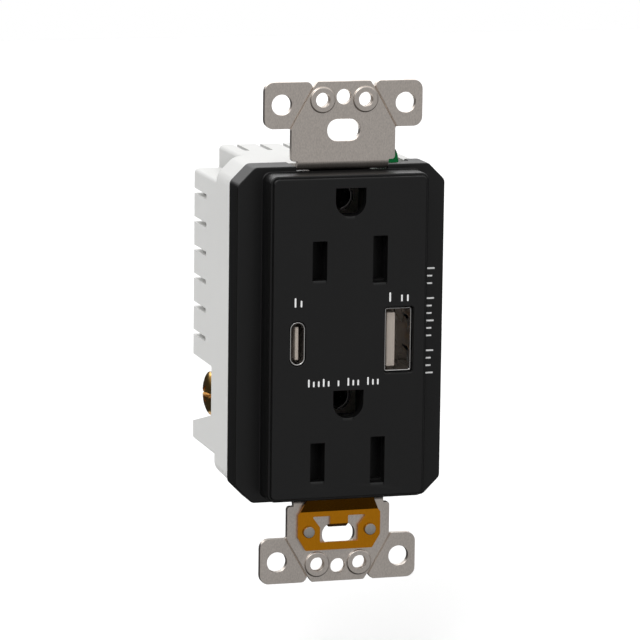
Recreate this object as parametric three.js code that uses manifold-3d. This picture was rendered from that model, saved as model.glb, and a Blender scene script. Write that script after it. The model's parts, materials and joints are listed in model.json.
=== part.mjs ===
// Duplex wall outlet with two charging ports, built as an assembly of separate pieces.
// Millimetres. +X is right and +Z is up as the outlet hangs on the wall, and the front faces -Y.
// The origin is the middle of the device on the wall plane, which is the back of the strap (y = 0).
import * as THREE from 'three';
import { mergeVertices } from 'three/addons/utils/BufferGeometryUtils.js';
import Module from 'manifold-3d';

const wasm = await Module();
wasm.setup();

// ---------------------------------------------------------------- driving dimensions
const OUTLET_Z = [16.0, -25.3];      // height of each outlet's blade slots
const BLADE_X = 6.35;                // blade slots stand 12.7 apart
const GROUND_RISE = 11.9;            // ground hole above the blade slots
const USB_Z = -0.7;                  // both charging ports are level
const USB_C_X = -10.8;
const USB_A_X = 10.6;

const FACE_W = 33.2;                 // raised decorator face
const FACE_H = 66.6;
const FACE_Y = -7.1;
const FACE_WALL = 2.2;
const FACE_BEVEL = 0.7;
const FACE_CORNER = 1.6;
const SKIRT_X = 21.85;               // cover's skirt, half width and half height
const SKIRT_Z = 34.5;
const SKIRT_FRONT_Y = -0.8;
const SKIRT_BACK_Y = 5.9;
const SKIRT_WALL = 2.0;
const CORNER_CUT = 3.6;
const NECK_NOTCH_X = 9.65;
const NECK_NOTCH_Z = 33.4;
const SLOT_HALF_X = 1.5;
const SLOT_HALF_Z = [4.0, 4.8];      // hot slot, then the taller neutral slot
const GROUND_HOLE_R = 3.15;

const BODY_X = 21.2;                 // rear body, half width and half height
const BODY_Z = 34.2;
const BODY_FRONT_Y = 6.1;
const BODY_STEP_Y = 18.6;            // where the full outline steps down to the rear block
const BODY_BACK_Y = 36.0;
const BLOCK_X = 15.9;                // rear block between its cut corners
const BLOCK_TOP_Z = 29.4;            // side blocks of the rear block
const BLOCK_LOW_Z = -28.4;
const VENT_H = 1.1;
const VENT_DEPTH = 2.4;
const VENT_FRONT_Y = 25.9;
const SIDE_VENT_Z = [24.2, 18.2, 12.2, 6.2, 0.2, -5.8];
const END_VENT_X = [-12.5, -7.5, -2.5, 2.5, 7.5, 12.5];

const STRAP_T = 1.3;                 // stamped steel
const STRAP_TOP_Z = 51.55;
const EAR_LOW_Z = 42.15;
const EAR_X = 16.6;
const PLATE_X = 10.93;
const NECK_X = 9.6;
const PLATE_LOW_Z = 35.5;
const SLOT_Z = 41.67;                // box screws stand 83.34 apart
const PLATE_HOLE_Z = 48.41;          // wall plate screws stand 96.8 apart
const PLATE_HOLE_R = 1.58;
const BOSS = { x: 4.5, z: 47.85, outer: 2.6, inner: 1.5, rise: 0.45, edge: 0.2 };
const EAR_HOLE = { x: 13.0, z: 47.0, r: 2.1 };
const BRIDGE_Y = [5.4, 6.7];         // strap's bridge, behind the cover
const WEB_Z = [33.55, 34.85];
const WEB_X = 6.5;

const CLIP_Y = [-1.9, -1.35];        // front and back of the self-grounding clip's plate
const CLIP_BEND_Z = -36.75;
const CLIP_TIP = { y: -2.85, z: -33.45, halfX: 6.78 };
const RIVETS = [
  { name: 'clip_rivet_left', x: -6.53, z: -40.84 },
  { name: 'clip_rivet_right', x: 6.53, z: -40.84 },
];
const RIVET_HOLE_R = 1.0;

const SCREW_CORNER = { x: 17.9, z: 31.2 };
const TERMINAL = { y: 28.6, z: -17.3, headR: 4.6, shankR: 2.0 };
const GROUND_SCREW = { y: 5.65, z: 33.6, acrossFlats: 6.4, shankR: 1.9, holeR: 2.1 };
const GROUND_TAB_X = [9.1, 10.4];    // the strap's side tab that holds the ground screw

const SHUTTER_TRAVEL = 4.0;
const USB_A_CONTACTS = [-3.5, -1.0, 1.0, 3.5];
const PORT_BOARD_Y = [8.9, 10.4];
const POWER_BOARD_Y = [22.0, 23.6];
const TRANSFORMER = { x: 5.2, z: 16.5 };
const CAPACITORS = [
  { name: 'input_capacitor_upper', x: -8.6, z: 21.5, r: 4.0, top: 34.0 },
  { name: 'input_capacitor_lower', x: -8.6, z: 12.4, r: 4.0, top: 34.0 },
  { name: 'output_capacitor_left', x: -9.6, z: 2.0, r: 3.15, top: 32.2 },
  { name: 'output_capacitor_right', x: -2.4, z: 2.0, r: 3.15, top: 32.2 },
];

const SEG = 24;                      // sides of a full circle

// ---------------------------------------------------------------- geometry helpers
function solid(geometry) {
  const bare = geometry.index ? geometry.toNonIndexed() : geometry.clone();
  for (const name of Object.keys(bare.attributes)) {
    if (name !== 'position') bare.deleteAttribute(name);
  }
  const merged = mergeVertices(bare, 1e-4);
  return new wasm.Manifold(new wasm.Mesh({
    numProp: 3,
    vertProperties: new Float32Array(merged.attributes.position.array),
    triVerts: new Uint32Array(merged.index.array),
  }));
}

function geometryOf(manifold) {
  const mesh = manifold.getMesh();
  const geometry = new THREE.BufferGeometry();
  geometry.setAttribute('position', new THREE.BufferAttribute(mesh.vertProperties, 3));
  geometry.setIndex(new THREE.BufferAttribute(mesh.triVerts, 1));
  geometry.computeVertexNormals();
  return geometry;
}

const join = (first, ...rest) => rest.reduce((sum, next) => sum.add(next), first);
const cut = (first, ...rest) => rest.reduce((left, next) => left.subtract(next), first);

function box(x, y, z) {
  const geometry = new THREE.BoxGeometry(x[1] - x[0], y[1] - y[0], z[1] - z[0]);
  geometry.translate((x[0] + x[1]) / 2, (y[0] + y[1]) / 2, (z[0] + z[1]) / 2);
  return solid(geometry);
}

// A shape drawn in two axes and extruded along the third.
const BASES = {
  x: [new THREE.Vector3(0, 1, 0), new THREE.Vector3(0, 0, 1), new THREE.Vector3(1, 0, 0)],
  y: [new THREE.Vector3(1, 0, 0), new THREE.Vector3(0, 0, 1), new THREE.Vector3(0, -1, 0)],
  z: [new THREE.Vector3(1, 0, 0), new THREE.Vector3(0, 1, 0), new THREE.Vector3(0, 0, 1)],
};

function prism(axis, shape, from, to, options = {}) {
  const bevel = options.bevel ?? 0;
  const geometry = new THREE.ExtrudeGeometry(shape, {
    depth: to - from - 2 * bevel,
    curveSegments: options.curveSegments ?? 4,
    steps: 1,
    bevelEnabled: bevel > 0,
    bevelThickness: bevel,
    bevelSize: bevel,
    bevelOffset: -bevel,
    bevelSegments: 2,
  });
  geometry.applyMatrix4(new THREE.Matrix4().makeBasis(...BASES[axis]));
  const start = axis === 'y' ? to - bevel : from + bevel;
  geometry.translate(
    axis === 'x' ? start : 0,
    axis === 'y' ? start : 0,
    axis === 'z' ? start : 0,
  );
  return solid(geometry);
}

function rod(axis, centre, radius, from, to, sides = SEG) {
  const geometry = new THREE.CylinderGeometry(radius, radius, to - from, sides);
  if (axis === 'x') geometry.rotateZ(-Math.PI / 2);
  if (axis === 'z') geometry.rotateX(Math.PI / 2);
  const middle = (from + to) / 2;
  const place = {
    x: [middle, centre[0], centre[1]],
    y: [centre[0], middle, centre[1]],
    z: [centre[0], centre[1], middle],
  }[axis];
  geometry.translate(...place);
  return solid(geometry);
}

// A turned piece on an axis along X or Y: profile points are [radius, distance along the axis].
function turned(axis, centre, profile, sides = SEG) {
  const points = profile.map(([r, h]) => new THREE.Vector2(r, h));
  const geometry = new THREE.LatheGeometry(points, sides);
  if (axis === 'x') geometry.rotateZ(-Math.PI / 2);
  if (axis === 'x') geometry.translate(0, centre[0], centre[1]);
  if (axis === 'y') geometry.translate(centre[0], 0, centre[1]);
  return solid(geometry);
}

const mirrorX = (manifold) => manifold.mirror([1, 0, 0]);
const mirrorZ = (manifold) => manifold.mirror([0, 0, 1]);

function polygon(points) {
  return new THREE.Shape(points.map(([u, v]) => new THREE.Vector2(u, v)));
}

// A rectangle with round corners, or with cut corners when facets is true.
function panel(u, v, corner, facets = false) {
  const shape = new THREE.Shape();
  const [u0, u1] = u;
  const [v0, v1] = v;
  shape.moveTo(u0 + corner, v0);
  shape.lineTo(u1 - corner, v0);
  if (facets) shape.lineTo(u1, v0 + corner);
  else shape.absarc(u1 - corner, v0 + corner, corner, -Math.PI / 2, 0);
  shape.lineTo(u1, v1 - corner);
  if (facets) shape.lineTo(u1 - corner, v1);
  else shape.absarc(u1 - corner, v1 - corner, corner, 0, Math.PI / 2);
  shape.lineTo(u0 + corner, v1);
  if (facets) shape.lineTo(u0, v1 - corner);
  else shape.absarc(u0 + corner, v1 - corner, corner, Math.PI / 2, Math.PI);
  shape.lineTo(u0, v0 + corner);
  if (!facets) shape.absarc(u0 + corner, v0 + corner, corner, Math.PI, 1.5 * Math.PI);
  shape.closePath();
  return shape;
}

const around = (centre, half) => [centre - half, centre + half];

// The ground hole: flat on top and round below.
function groundHole(z, r) {
  const shape = new THREE.Shape();
  shape.moveTo(r, z + 2.75);
  shape.lineTo(-r, z + 2.75);
  shape.lineTo(-r, z + 0.1);
  shape.absarc(0, z + 0.1, r, Math.PI, 2 * Math.PI);
  shape.closePath();
  return shape;
}

// ---------------------------------------------------------------- front cover
function frontCover() {
  const behind = 7;
  const skirt = prism('y', panel(around(0, SKIRT_X), around(0, SKIRT_Z), CORNER_CUT, true),
    SKIRT_FRONT_Y, SKIRT_BACK_Y);
  const face = prism('y', panel(around(0, FACE_W / 2), around(0, FACE_H / 2), FACE_CORNER),
    FACE_Y, SKIRT_FRONT_Y + 1.6, { bevel: FACE_BEVEL });
  const faceHollow = box(around(0, 14.6), [FACE_Y + FACE_WALL, behind], around(0, 31.3));
  const skirtHollow = prism('y', panel(around(0, 19.6), around(0, 32.0), 7.6, true),
    SKIRT_FRONT_Y + SKIRT_WALL, behind);
  let cover = cut(join(skirt, face), faceHollow, skirtHollow);
  cover = cut(join(cover, screwPocketWall()), screwPocket(behind));
  for (const side of [1, -1]) {
    const neck = [side * NECK_NOTCH_Z, side * 36].sort((a, b) => a - b);
    const bridgeEnd = [side * 31, side * 36].sort((a, b) => a - b);
    cover = cut(
      cover,
      box(around(0, NECK_NOTCH_X), [FACE_Y, behind], neck),
      box(around(0, WEB_X + 0.3), [BRIDGE_Y[0] - 0.2, behind], bridgeEnd),
    );
    for (const x of around(0, SCREW_CORNER.x)) {
      cover = cut(cover, rod('y', [x, side * SCREW_CORNER.z], 1.3, 0.2, behind, 12));
    }
  }
  return cut(cover, ...faceOpenings());
}

// The blade slots, ground holes and port openings, as cutters through the face.
function faceOpenings() {
  const through = [FACE_Y - 1, FACE_Y + FACE_WALL + 1];
  const openings = [];
  for (const z of OUTLET_Z) {
    [-BLADE_X, BLADE_X].forEach((x, index) => {
      openings.push(box(around(x, SLOT_HALF_X), through, around(z, SLOT_HALF_Z[index])));
    });
    openings.push(prism('y', groundHole(z + GROUND_RISE, GROUND_HOLE_R), ...through));
  }
  const portC = panel(around(USB_C_X, 1.7), around(USB_Z, 4.6), 1.69);
  const portA = panel(around(USB_A_X, 3.0), around(USB_Z, 6.7), 0.6);
  openings.push(prism('y', portC, ...through), prism('y', portA, ...through));
  return openings;
}

// The pocket in the skirt's top edge that clears the ground screw's head, and its inner wall.
function screwPocket(behind) {
  const plan = [[7.7, 0.6], [11.4, 0.6], [14.3, 2.8], [15.2, 2.8], [15.2, behind], [7.7, behind]];
  return prism('z', polygon(plan), 29.3, 36);
}

function screwPocketWall() {
  return box([6.9, 16.2], [SKIRT_FRONT_Y + SKIRT_WALL - 0.1, SKIRT_BACK_Y - 0.1], [28.5, 32.4]);
}

// ---------------------------------------------------------------- rear body
function rearBody() {
  const front = prism('y', panel(around(0, BODY_X), around(0, BODY_Z), CORNER_CUT, true),
    BODY_FRONT_Y, BODY_STEP_Y);
  const block = join(
    box(around(0, BLOCK_X), [BODY_STEP_Y - 1, BODY_BACK_Y], around(0, BODY_Z)),
    box(around(0, BODY_X), [BODY_STEP_Y - 1, BODY_BACK_Y], [BLOCK_LOW_Z, BLOCK_TOP_Z]),
  );
  let body = join(front, block);
  body = cut(
    body,
    prism('y', panel(around(0, 19.5), around(0, 32.4), 8, true), 5, 17.2),
    box(around(0, 14.3), [17, 34.4], [-8.4, 30.6]),
    box(around(0, 17.4), [17, 34.4], [-8.4, 27.8]),
    box(around(0, 12.6), [17, 34.4], [-30.6, -8]),
  );
  body = join(body, box([6.9, 16.2], [BODY_FRONT_Y, 11.1], [28.5, 33.4]));
  body = cut(body, box([7.7, 15.2], [5, 10.1], [29.3, 36]));
  body = cut(body, box(around(0, WEB_X + 0.3), [5, 7.1], [32.2, 36]));
  body = cut(body, box(around(0, WEB_X + 0.3), [5, 7.1], [-36, -32.2]));

  const recess = polygon([[20.9, -20.4], [37, -24.77], [37, -10], [20.9, -10]]);
  const rightRecess = join(
    prism('x', recess, 14.0, 22),
    box([13.95, 15.05], [17, 21.2], [-20.38, -12.4]),
    rod('x', [TERMINAL.y, TERMINAL.z], 2.6, 12.4, 14.2),
  );
  body = cut(body, rightRecess, mirrorX(rightRecess));

  for (const z of SIDE_VENT_Z) {
    const vent = box([BODY_X - VENT_DEPTH, 22], [VENT_FRONT_Y, 37], [z, z + VENT_H]);
    body = cut(body, vent, mirrorX(vent));
  }
  for (const x of END_VENT_X) {
    const vent = box(around(x, VENT_H / 2), [VENT_FRONT_Y, 37], [BODY_Z - VENT_DEPTH, 35]);
    body = cut(body, vent, mirrorZ(vent));
  }
  for (const x of around(0, SCREW_CORNER.x)) {
    for (const z of around(0, SCREW_CORNER.z)) {
      body = cut(body, rod('y', [x, z], 1.35, 5, 19, 12));
    }
  }
  return body;
}

// ---------------------------------------------------------------- mounting strap
// One end of the strap, with its two break-off ears, in the XZ plane for the upper end.
function strapEndShape() {
  const right = [
    [5.6, STRAP_TOP_Z], [6.45, 50.3], [7.1, 51.0], [8.2, STRAP_TOP_Z], [EAR_X - 1.9, STRAP_TOP_Z],
    [EAR_X - 0.55, 51.0], [EAR_X, 49.65], [EAR_X, EAR_LOW_Z + 1.9], [EAR_X - 0.55, EAR_LOW_Z + 0.55],
    [EAR_X - 1.9, EAR_LOW_Z], [11.5, EAR_LOW_Z], [PLATE_X, EAR_LOW_Z - 0.5],
    [PLATE_X, PLATE_LOW_Z + 1.5], [PLATE_X - 0.45, PLATE_LOW_Z + 0.45], [NECK_X, PLATE_LOW_Z],
    [NECK_X, PLATE_LOW_Z - 0.25],
  ];
  const left = right.map(([x, z]) => [-x, z]).reverse();
  const shape = polygon([...right, ...left].reverse());
  const circles = [[0, PLATE_HOLE_Z, PLATE_HOLE_R], [EAR_HOLE.x, EAR_HOLE.z, EAR_HOLE.r],
    [-EAR_HOLE.x, EAR_HOLE.z, EAR_HOLE.r], [BOSS.x, BOSS.z, BOSS.inner], [-BOSS.x, BOSS.z, BOSS.inner]];
  for (const [x, z, r] of circles) {
    const hole = new THREE.Path();
    hole.absarc(x, z, r, 0, 2 * Math.PI, true);
    shape.holes.push(hole);
  }
  const slot = new THREE.Path(panel(around(0, 3.45), around(SLOT_Z, 2.25), 2.15).getPoints(3).reverse());
  shape.holes.push(slot);
  return shape;
}

// The shallow score line along which an ear snaps off.
function scoreLine() {
  const geometry = new THREE.BoxGeometry(0.5, 0.5, 9.6);
  geometry.rotateZ(Math.PI / 4);
  geometry.rotateY(-Math.atan2(4.95, 8.1));
  geometry.translate(8.95, -STRAP_T - 0.08, 46.25);
  return solid(geometry);
}

function strapEnd() {
  const plate = prism('y', strapEndShape(), -STRAP_T, 0, { curveSegments: 4 });
  const bendY = 0.5;
  const bendZ = PLATE_LOW_Z - 0.15;
  const arc = (radius, from, to) => [0, 1, 2, 3].map((k) => {
    const angle = from + (to - from) * (k / 3);
    return [bendY + radius * Math.cos(angle), bendZ + radius * Math.sin(angle)];
  });
  const inner = arc(0.5, 1.5 * Math.PI, Math.PI);
  const outer = arc(bendY + STRAP_T, Math.PI, 1.5 * Math.PI);
  const bend = prism('x', polygon([...inner, ...outer].reverse()), -NECK_X, NECK_X);
  const web = box(around(0, WEB_X), [bendY - 0.1, BRIDGE_Y[1]], WEB_Z);
  let end = join(plate, bend, web);
  for (const x of around(0, BOSS.x)) {
    const rim = -STRAP_T - BOSS.rise;
    const collar = turned('y', [x, BOSS.z], [[BOSS.inner, -STRAP_T + 0.4], [BOSS.inner, rim],
      [BOSS.outer - BOSS.edge, rim], [BOSS.outer, rim + BOSS.edge], [BOSS.outer, -STRAP_T + 0.4],
      [BOSS.inner, -STRAP_T + 0.4]], 16);
    end = join(end, collar);
  }
  return cut(end, scoreLine(), mirrorX(scoreLine()));
}

function mountingStrap() {
  const end = strapEnd();
  let bridge = box(around(0, 3.4), BRIDGE_Y, around(0, WEB_Z[0] + 0.5));
  for (const z of around(0, 33.0)) bridge = join(bridge, box(around(0, WEB_X), BRIDGE_Y, around(z, 1.85)));
  for (const z of OUTLET_Z.map((height) => height + GROUND_RISE)) {
    bridge = join(bridge, box(around(0, 5.4), BRIDGE_Y, around(z, 4.8)));
    bridge = cut(bridge, rod('y', [0, z], 3.45, 5, 7));
  }
  let strap = join(end, mirrorZ(end), bridge, groundScrewTab());
  for (const rivet of RIVETS) {
    strap = cut(strap, rod('y', [rivet.x, rivet.z], RIVET_HOLE_R, -2, 1, 12));
  }
  return strap;
}

function groundScrewTab() {
  const { y, z, holeR } = GROUND_SCREW;
  const side = polygon([[-0.9, 35.9], [2.2, 35.3], [2.2, 30.4], [7.8, 30.4], [8.7, 31.3],
    [8.7, 36.3], [7.8, 37.3], [2.2, 38.6], [-0.9, 38.6]]);
  return cut(prism('x', side, ...GROUND_TAB_X), rod('x', [y, z], holeR, 8, 12));
}

// ---------------------------------------------------------------- self-grounding clip
function groundClip() {
  const { y: tipY, z: tipZ, halfX: tipX } = CLIP_TIP;
  const half = [[8.35, CLIP_BEND_Z], [8.8, CLIP_BEND_Z - 0.6], [8.8, -42.0], [7.1, -44.8]];
  const outline = polygon([...half, ...half.map(([x, z]) => [-x, z]).reverse()].reverse());
  outline.holes.push(clipWindow());
  const plate = prism('y', outline, ...CLIP_Y);
  const rampSide = polygon([[CLIP_Y[0], CLIP_BEND_Z - 0.1], [CLIP_Y[1], CLIP_BEND_Z - 0.1],
    [CLIP_Y[1], CLIP_BEND_Z + 0.1], [tipY + 0.6, tipZ], [tipY, tipZ], [CLIP_Y[0], CLIP_BEND_Z + 0.05]]);
  const foot = CLIP_BEND_Z - 0.1;
  const taper = polygon([[8.4, foot], [tipX, tipZ], [-tipX, tipZ], [-8.4, foot]]);
  const ramp = prism('x', rampSide, -9, 9).intersect(prism('y', taper, -5, 0));
  const tailSide = polygon([[CLIP_Y[0], -37.8], [CLIP_Y[0], -39.5], [-0.6, -40.3], [0.7, -40.3],
    [0.7, -39.75], [-0.5, -39.75], [CLIP_Y[1], -39.65], [CLIP_Y[1], -37.8]]);
  let clip = join(plate, ramp, prism('x', tailSide, -1.9, 1.9));
  for (const rivet of RIVETS) {
    clip = cut(clip, rod('y', [rivet.x, rivet.z], RIVET_HOLE_R, -3, 0, 12));
  }
  return clip;
}

// The clip's window: two flared ends and a plain foot, with the tongue standing down into it.
function clipWindow() {
  const half = [[1.9, -37.75], [5.75, -37.75], [4.05, -40.05], [4.05, -43.2]];
  const left = half.slice(1).map(([x, z]) => [-x, z]).reverse();
  const points = [...half, ...left, [-1.9, -37.75], [-1.9, -39.1], [1.9, -39.1]];
  return new THREE.Path(points.map(([x, z]) => new THREE.Vector2(x, z)));
}

function clipRivet({ x, z }) {
  return turned('y', [x, z], [[0, -0.05], [0.9, -0.05], [0.9, -1.95], [1.2, -1.95], [1.2, -2.48],
    [1.08, -2.6], [0, -2.6]].reverse(), 16);
}

// ---------------------------------------------------------------- screws
// Combination slot and cross recess in a head on the X axis, cut from its outer face.
function driveRecess(x, y, z, length) {
  return join(
    box(x, around(y, length / 2), around(z, 0.5)),
    box(x, around(y, 0.5), around(z, length / 3)),
  );
}

function terminalScrew() {
  const { y, z, headR, shankR } = TERMINAL;
  const screw = turned('x', [y, z], [[0, 11.5], [shankR - 0.4, 11.5], [shankR, 12.0], [shankR, 18.3],
    [headR, 18.3], [headR, 19.3], [headR - 0.5, 20.1], [headR - 2.2, 20.75], [0, 20.9]]);
  return cut(screw, driveRecess([19.7, 22], y, z, 2 * headR + 1));
}

function clampPlate() {
  const { y, z } = TERMINAL;
  const plate = prism('x', panel(around(y, 3.9), around(z, 3.9), 0.6, true), 17.0, 18.2);
  const ridges = [-2.9, 2.9].map((dy) => box([16.95, 17.4], around(y + dy, 0.3), around(z, 3)));
  return cut(plate, rod('x', [y, z], 2.3, 16, 19), ...ridges);
}

// A hexagonal head on an axis along X, one corner to the front.
function hexagon([y, z], vertexR, from, to) {
  const corners = [0, 1, 2, 3, 4, 5].map((k) => {
    const angle = (k * Math.PI) / 3;
    return [y + vertexR * Math.cos(angle), z + vertexR * Math.sin(angle)];
  });
  return prism('x', polygon(corners), from, to);
}

function groundScrew() {
  const { y, z, acrossFlats, shankR } = GROUND_SCREW;
  const vertexR = acrossFlats / Math.sqrt(3);
  const head = hexagon([y, z], vertexR, 10.5, 12.9);
  const shank = rod('x', [y, z], shankR, 7.95, 10.7, 20);
  return cut(join(head, shank), driveRecess([12.2, 14], y, z, 4.4));
}

function assemblyScrew(x, z) {
  const screw = turned('y', [x, z], [[0, 0.6], [0.6, 0.6], [1.15, 1.8], [1.15, 18.75], [1.55, 18.75],
    [1.55, 19.5], [1.1, 20.1], [0, 20.3]], 16);
  const cross = join(
    box(around(x, 1.1), [19.6, 21], around(z, 0.25)),
    box(around(x, 0.25), [19.6, 21], around(z, 1.1)),
  );
  return cut(screw, cross);
}

// ---------------------------------------------------------------- shutters
function shutterBase(z) {
  const floor = box(around(0, 14.4), [-1.9, -0.2], [z - 5.9, z + 8.6]);
  const walls = [
    box([-14.4, -13.5], [-4.75, -1.8], [z - 5.9, z + 8.6]),
    box([8.75, 9.75], [-4.75, -1.8], [z - 5.9, z + 5.2]),
    box([-14.4, 9.75], [-4.75, -1.8], [z - 5.9, z - 5.3]),
    box([-14.4, 0.4], [-4.75, -1.8], [z + 8.3, z + 8.6]),
  ];
  const windows = around(0, BLADE_X).map((x) => box(around(x, 1.9), [-2.1, 0], around(z, 4.75)));
  return cut(join(floor, ...walls), ...windows);
}

function shutter(z) {
  const plate = box([-8.9, 8.4], [-4.6, -2.0], [z - 5.2, z + 5.2]);
  const arm = box([-5.0, -1.0], [-4.6, -2.0], [z + 5.1, z + 8.1]);
  const pass = box(around(-BLADE_X + SHUTTER_TRAVEL, 1.85), [-5, -1], around(z, 4.4));
  const ramp = polygon([[-1.6, -4.7], [1.55, -4.7], [1.55, -2.8]]);
  const ramps = [-BLADE_X, BLADE_X].map((x) => {
    const moved = new THREE.Shape(ramp.getPoints().map((p) => new THREE.Vector2(p.x + x, p.y)));
    return prism('z', moved, z - 4.4, z + 4.4);
  });
  return cut(join(plate, arm), pass, ...ramps);
}

class Helix extends THREE.Curve {
  constructor(centre, radius, from, to, turns) {
    super();
    Object.assign(this, { centre, radius, from, to, turns });
  }

  getPoint(t, target = new THREE.Vector3()) {
    const angle = 2 * Math.PI * this.turns * t;
    return target.set(
      this.from + (this.to - this.from) * t,
      this.centre[0] + this.radius * Math.cos(angle),
      this.centre[1] + this.radius * Math.sin(angle),
    );
  }
}

function shutterSpring(z) {
  const path = new Helix([-3.3, z + 6.75], 0.95, -13.2, -5.3, 7);
  const section = polygon([0, 1, 2, 3, 4].map((k) => {
    const angle = (2 * Math.PI * k) / 5;
    return [0.17 * Math.cos(angle), 0.17 * Math.sin(angle)];
  }));
  const options = { steps: 9 * path.turns, extrudePath: path, bevelEnabled: false };
  return solid(new THREE.ExtrudeGeometry(section, options));
}

// ---------------------------------------------------------------- current-carrying parts
// A blade contact: two sprung leaves that pinch the blade, drawn as a section across X and Y.
function bladeContact(x, z) {
  const right = [[0, 13.1], [2.1, 13.1], [2.25, 7.2], [1.25, 3.4], [2.0, 1.0], [1.45, 0.85],
    [0.65, 3.3], [1.65, 7.3], [1.5, 12.5], [0, 12.5]];
  const left = right.slice(1, -1).map(([u, v]) => [-u, v]).reverse();
  const shape = polygon([...right, ...left].map(([u, v]) => [x + u, v]));
  return prism('z', shape, z - 3.1, z + 3.1);
}

// The bus for the left side: a strip behind the two blade contacts and an arm to the terminal plate.
function busBar() {
  const { y, z } = TERMINAL;
  const plateZ = [-20.25, -12.6];
  const strip = box([4.4, 9.0], [13.2, 14.0], [OUTLET_Z[1] - 3.1, OUTLET_Z[0] + 3.1]);
  const arm = box([8.9, 14.9], [13.2, 14.0], plateZ);
  const plate = box([14.1, 14.9], [13.2, 33.2], plateZ);
  return cut(join(strip, arm, plate), rod('x', [y, z], 2.2, 13, 16));
}

function groundContact(z) {
  const sleeve = turned('y', [0, z], [[2.5, 1.6], [3.1, 1.6], [3.1, 13.0], [2.5, 13.0], [2.5, 1.6]]);
  const flange = cut(box(around(0, 4.9), [6.8, 7.4], around(z, 4.3)), rod('y', [0, z], 2.8, 6, 8));
  const split = box(around(0, 0.4), [1, 6.3], [z - 4, z]);
  return cut(join(sleeve, flange), split);
}

function insulatorPlate() {
  const shape = panel(around(0, 19.2), around(0, 30.0), 6.6, true);
  let plate = prism('y', shape, 7.7, 8.5);
  plate = cut(
    plate,
    box([-13.4, -8.2], [7, 9], around(USB_Z, 5.4)),
    box([7.3, 13.9], [7, 9], around(USB_Z, 7.2)),
    box([6.2, 16.9], [7, 9], [28.0, 31]),
  );
  for (const z of OUTLET_Z) {
    for (const x of around(0, BLADE_X)) {
      plate = cut(plate, box(around(x, 2.7), [7, 9], around(z, 3.6)));
    }
    plate = cut(plate, rod('y', [0, z + GROUND_RISE], 3.4, 7, 9));
  }
  return plate;
}

// ---------------------------------------------------------------- charging ports
function usbAShell() {
  const outer = prism('y', panel(around(USB_A_X, 2.85), around(USB_Z, 6.55), 0.4), -6.1, 8.8);
  const inner = prism('y', panel(around(USB_A_X, 2.55), around(USB_Z, 6.25), 0.3), -8, 8.5);
  const tabs = [-3.2, 3.2].map((dz) => {
    const z = around(USB_Z + dz, 1.1);
    return cut(box([USB_A_X + 2, USB_A_X + 3.5], [-4.9, -0.6], z),
      box([USB_A_X + 2, USB_A_X + 3.5], [-4.3, -0.5], around(USB_Z + dz, 0.7)));
  });
  return cut(outer, inner, ...tabs);
}

function usbATongue() {
  return join(
    box([8.3, 10.1], [-5.7, 5], around(USB_Z, 5.55)),
    box([8.15, 13.05], [4.5, 8.4], around(USB_Z, 6.15)),
  );
}

function usbAContact(dz) {
  const side = polygon([[10.15, 4.4], [10.15, -4.4], [10.25, -5.1], [10.45, -4.4], [10.35, 4.4]]);
  return prism('z', side, USB_Z + dz - 0.5, USB_Z + dz + 0.5);
}

function usbCShell() {
  const outer = prism('y', panel(around(USB_C_X, 1.6), around(USB_Z, 4.48), 1.59), -6.9, 8.8);
  const inner = prism('y', panel(around(USB_C_X, 1.28), around(USB_Z, 4.17), 1.27), -8, 8.5);
  return cut(outer, inner);
}

function usbCTongue() {
  return join(
    box(around(USB_C_X, 0.35), [-6.3, 2], around(USB_Z, 3.35)),
    prism('y', panel(around(USB_C_X, 1.15), around(USB_Z, 4.0), 1.1), 1.0, 8.4),
  );
}

// ---------------------------------------------------------------- charger electronics
const portBoard = () => box(around(0, 15.0), PORT_BOARD_Y, [-8.5, 7.6]);
const powerBoard = () => prism('y', panel(around(0, 15.6), [-7.8, 27.4], 1.2, true), ...POWER_BOARD_Y);

function transformerCore() {
  const { x, z } = TRANSFORMER;
  const yoke = box(around(x, 7), [23.8, 33.9], around(z, 3.2));
  const windows = [-1, 1].map((side) => {
    const span = [x + side * 2.2, x + side * 5.2].sort((a, b) => a - b);
    return box(span, [25.8, 31.9], around(z, 4));
  });
  return cut(yoke, ...windows);
}

function transformerWinding() {
  const { x, z } = TRANSFORMER;
  const outer = prism('y', panel(around(x, 5.0), around(z, 6.4), 1.2), 26.0, 31.7);
  return cut(outer, box(around(x, 2.3), [25, 33], around(z, 3.4)));
}

function capacitor({ x, z, r, top }) {
  return turned('y', [x, z], [[0, 23.75], [r - 0.3, 23.75], [r, 24.1], [r, 24.9], [r - 0.25, 25.2],
    [r, 25.5], [r, top - 0.3], [r - 0.3, top], [0, top]], 20);
}

function chokeCore() {
  return turned('y', [6.0, 2.2], [[0, 23.8], [3.4, 23.8], [3.4, 25.0], [2.2, 25.3], [2.2, 30.5],
    [3.4, 30.8], [3.4, 32.0], [0, 32.0]], 20);
}

function fuse() {
  return rod('z', [12.9, 25.6], 1.6, -4.5, 5.0, 16);
}

const rectifier = () => box([-14.0, -10.9], [19.2, 21.9], [14, 20]);
const controllerChip = () => box(around(0, 2.6), [20.3, 21.9], [8.2, 13.2]);
const linkHeader = () => box([-14.2, -11.6], [10.5, 21.9], around(0.2, 5.1));
const boardLead = () => prism('y', panel(around(6.7, 0.6), around(-4.2, 0.6), 0.2, true), 14.1, 21.9);

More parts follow.
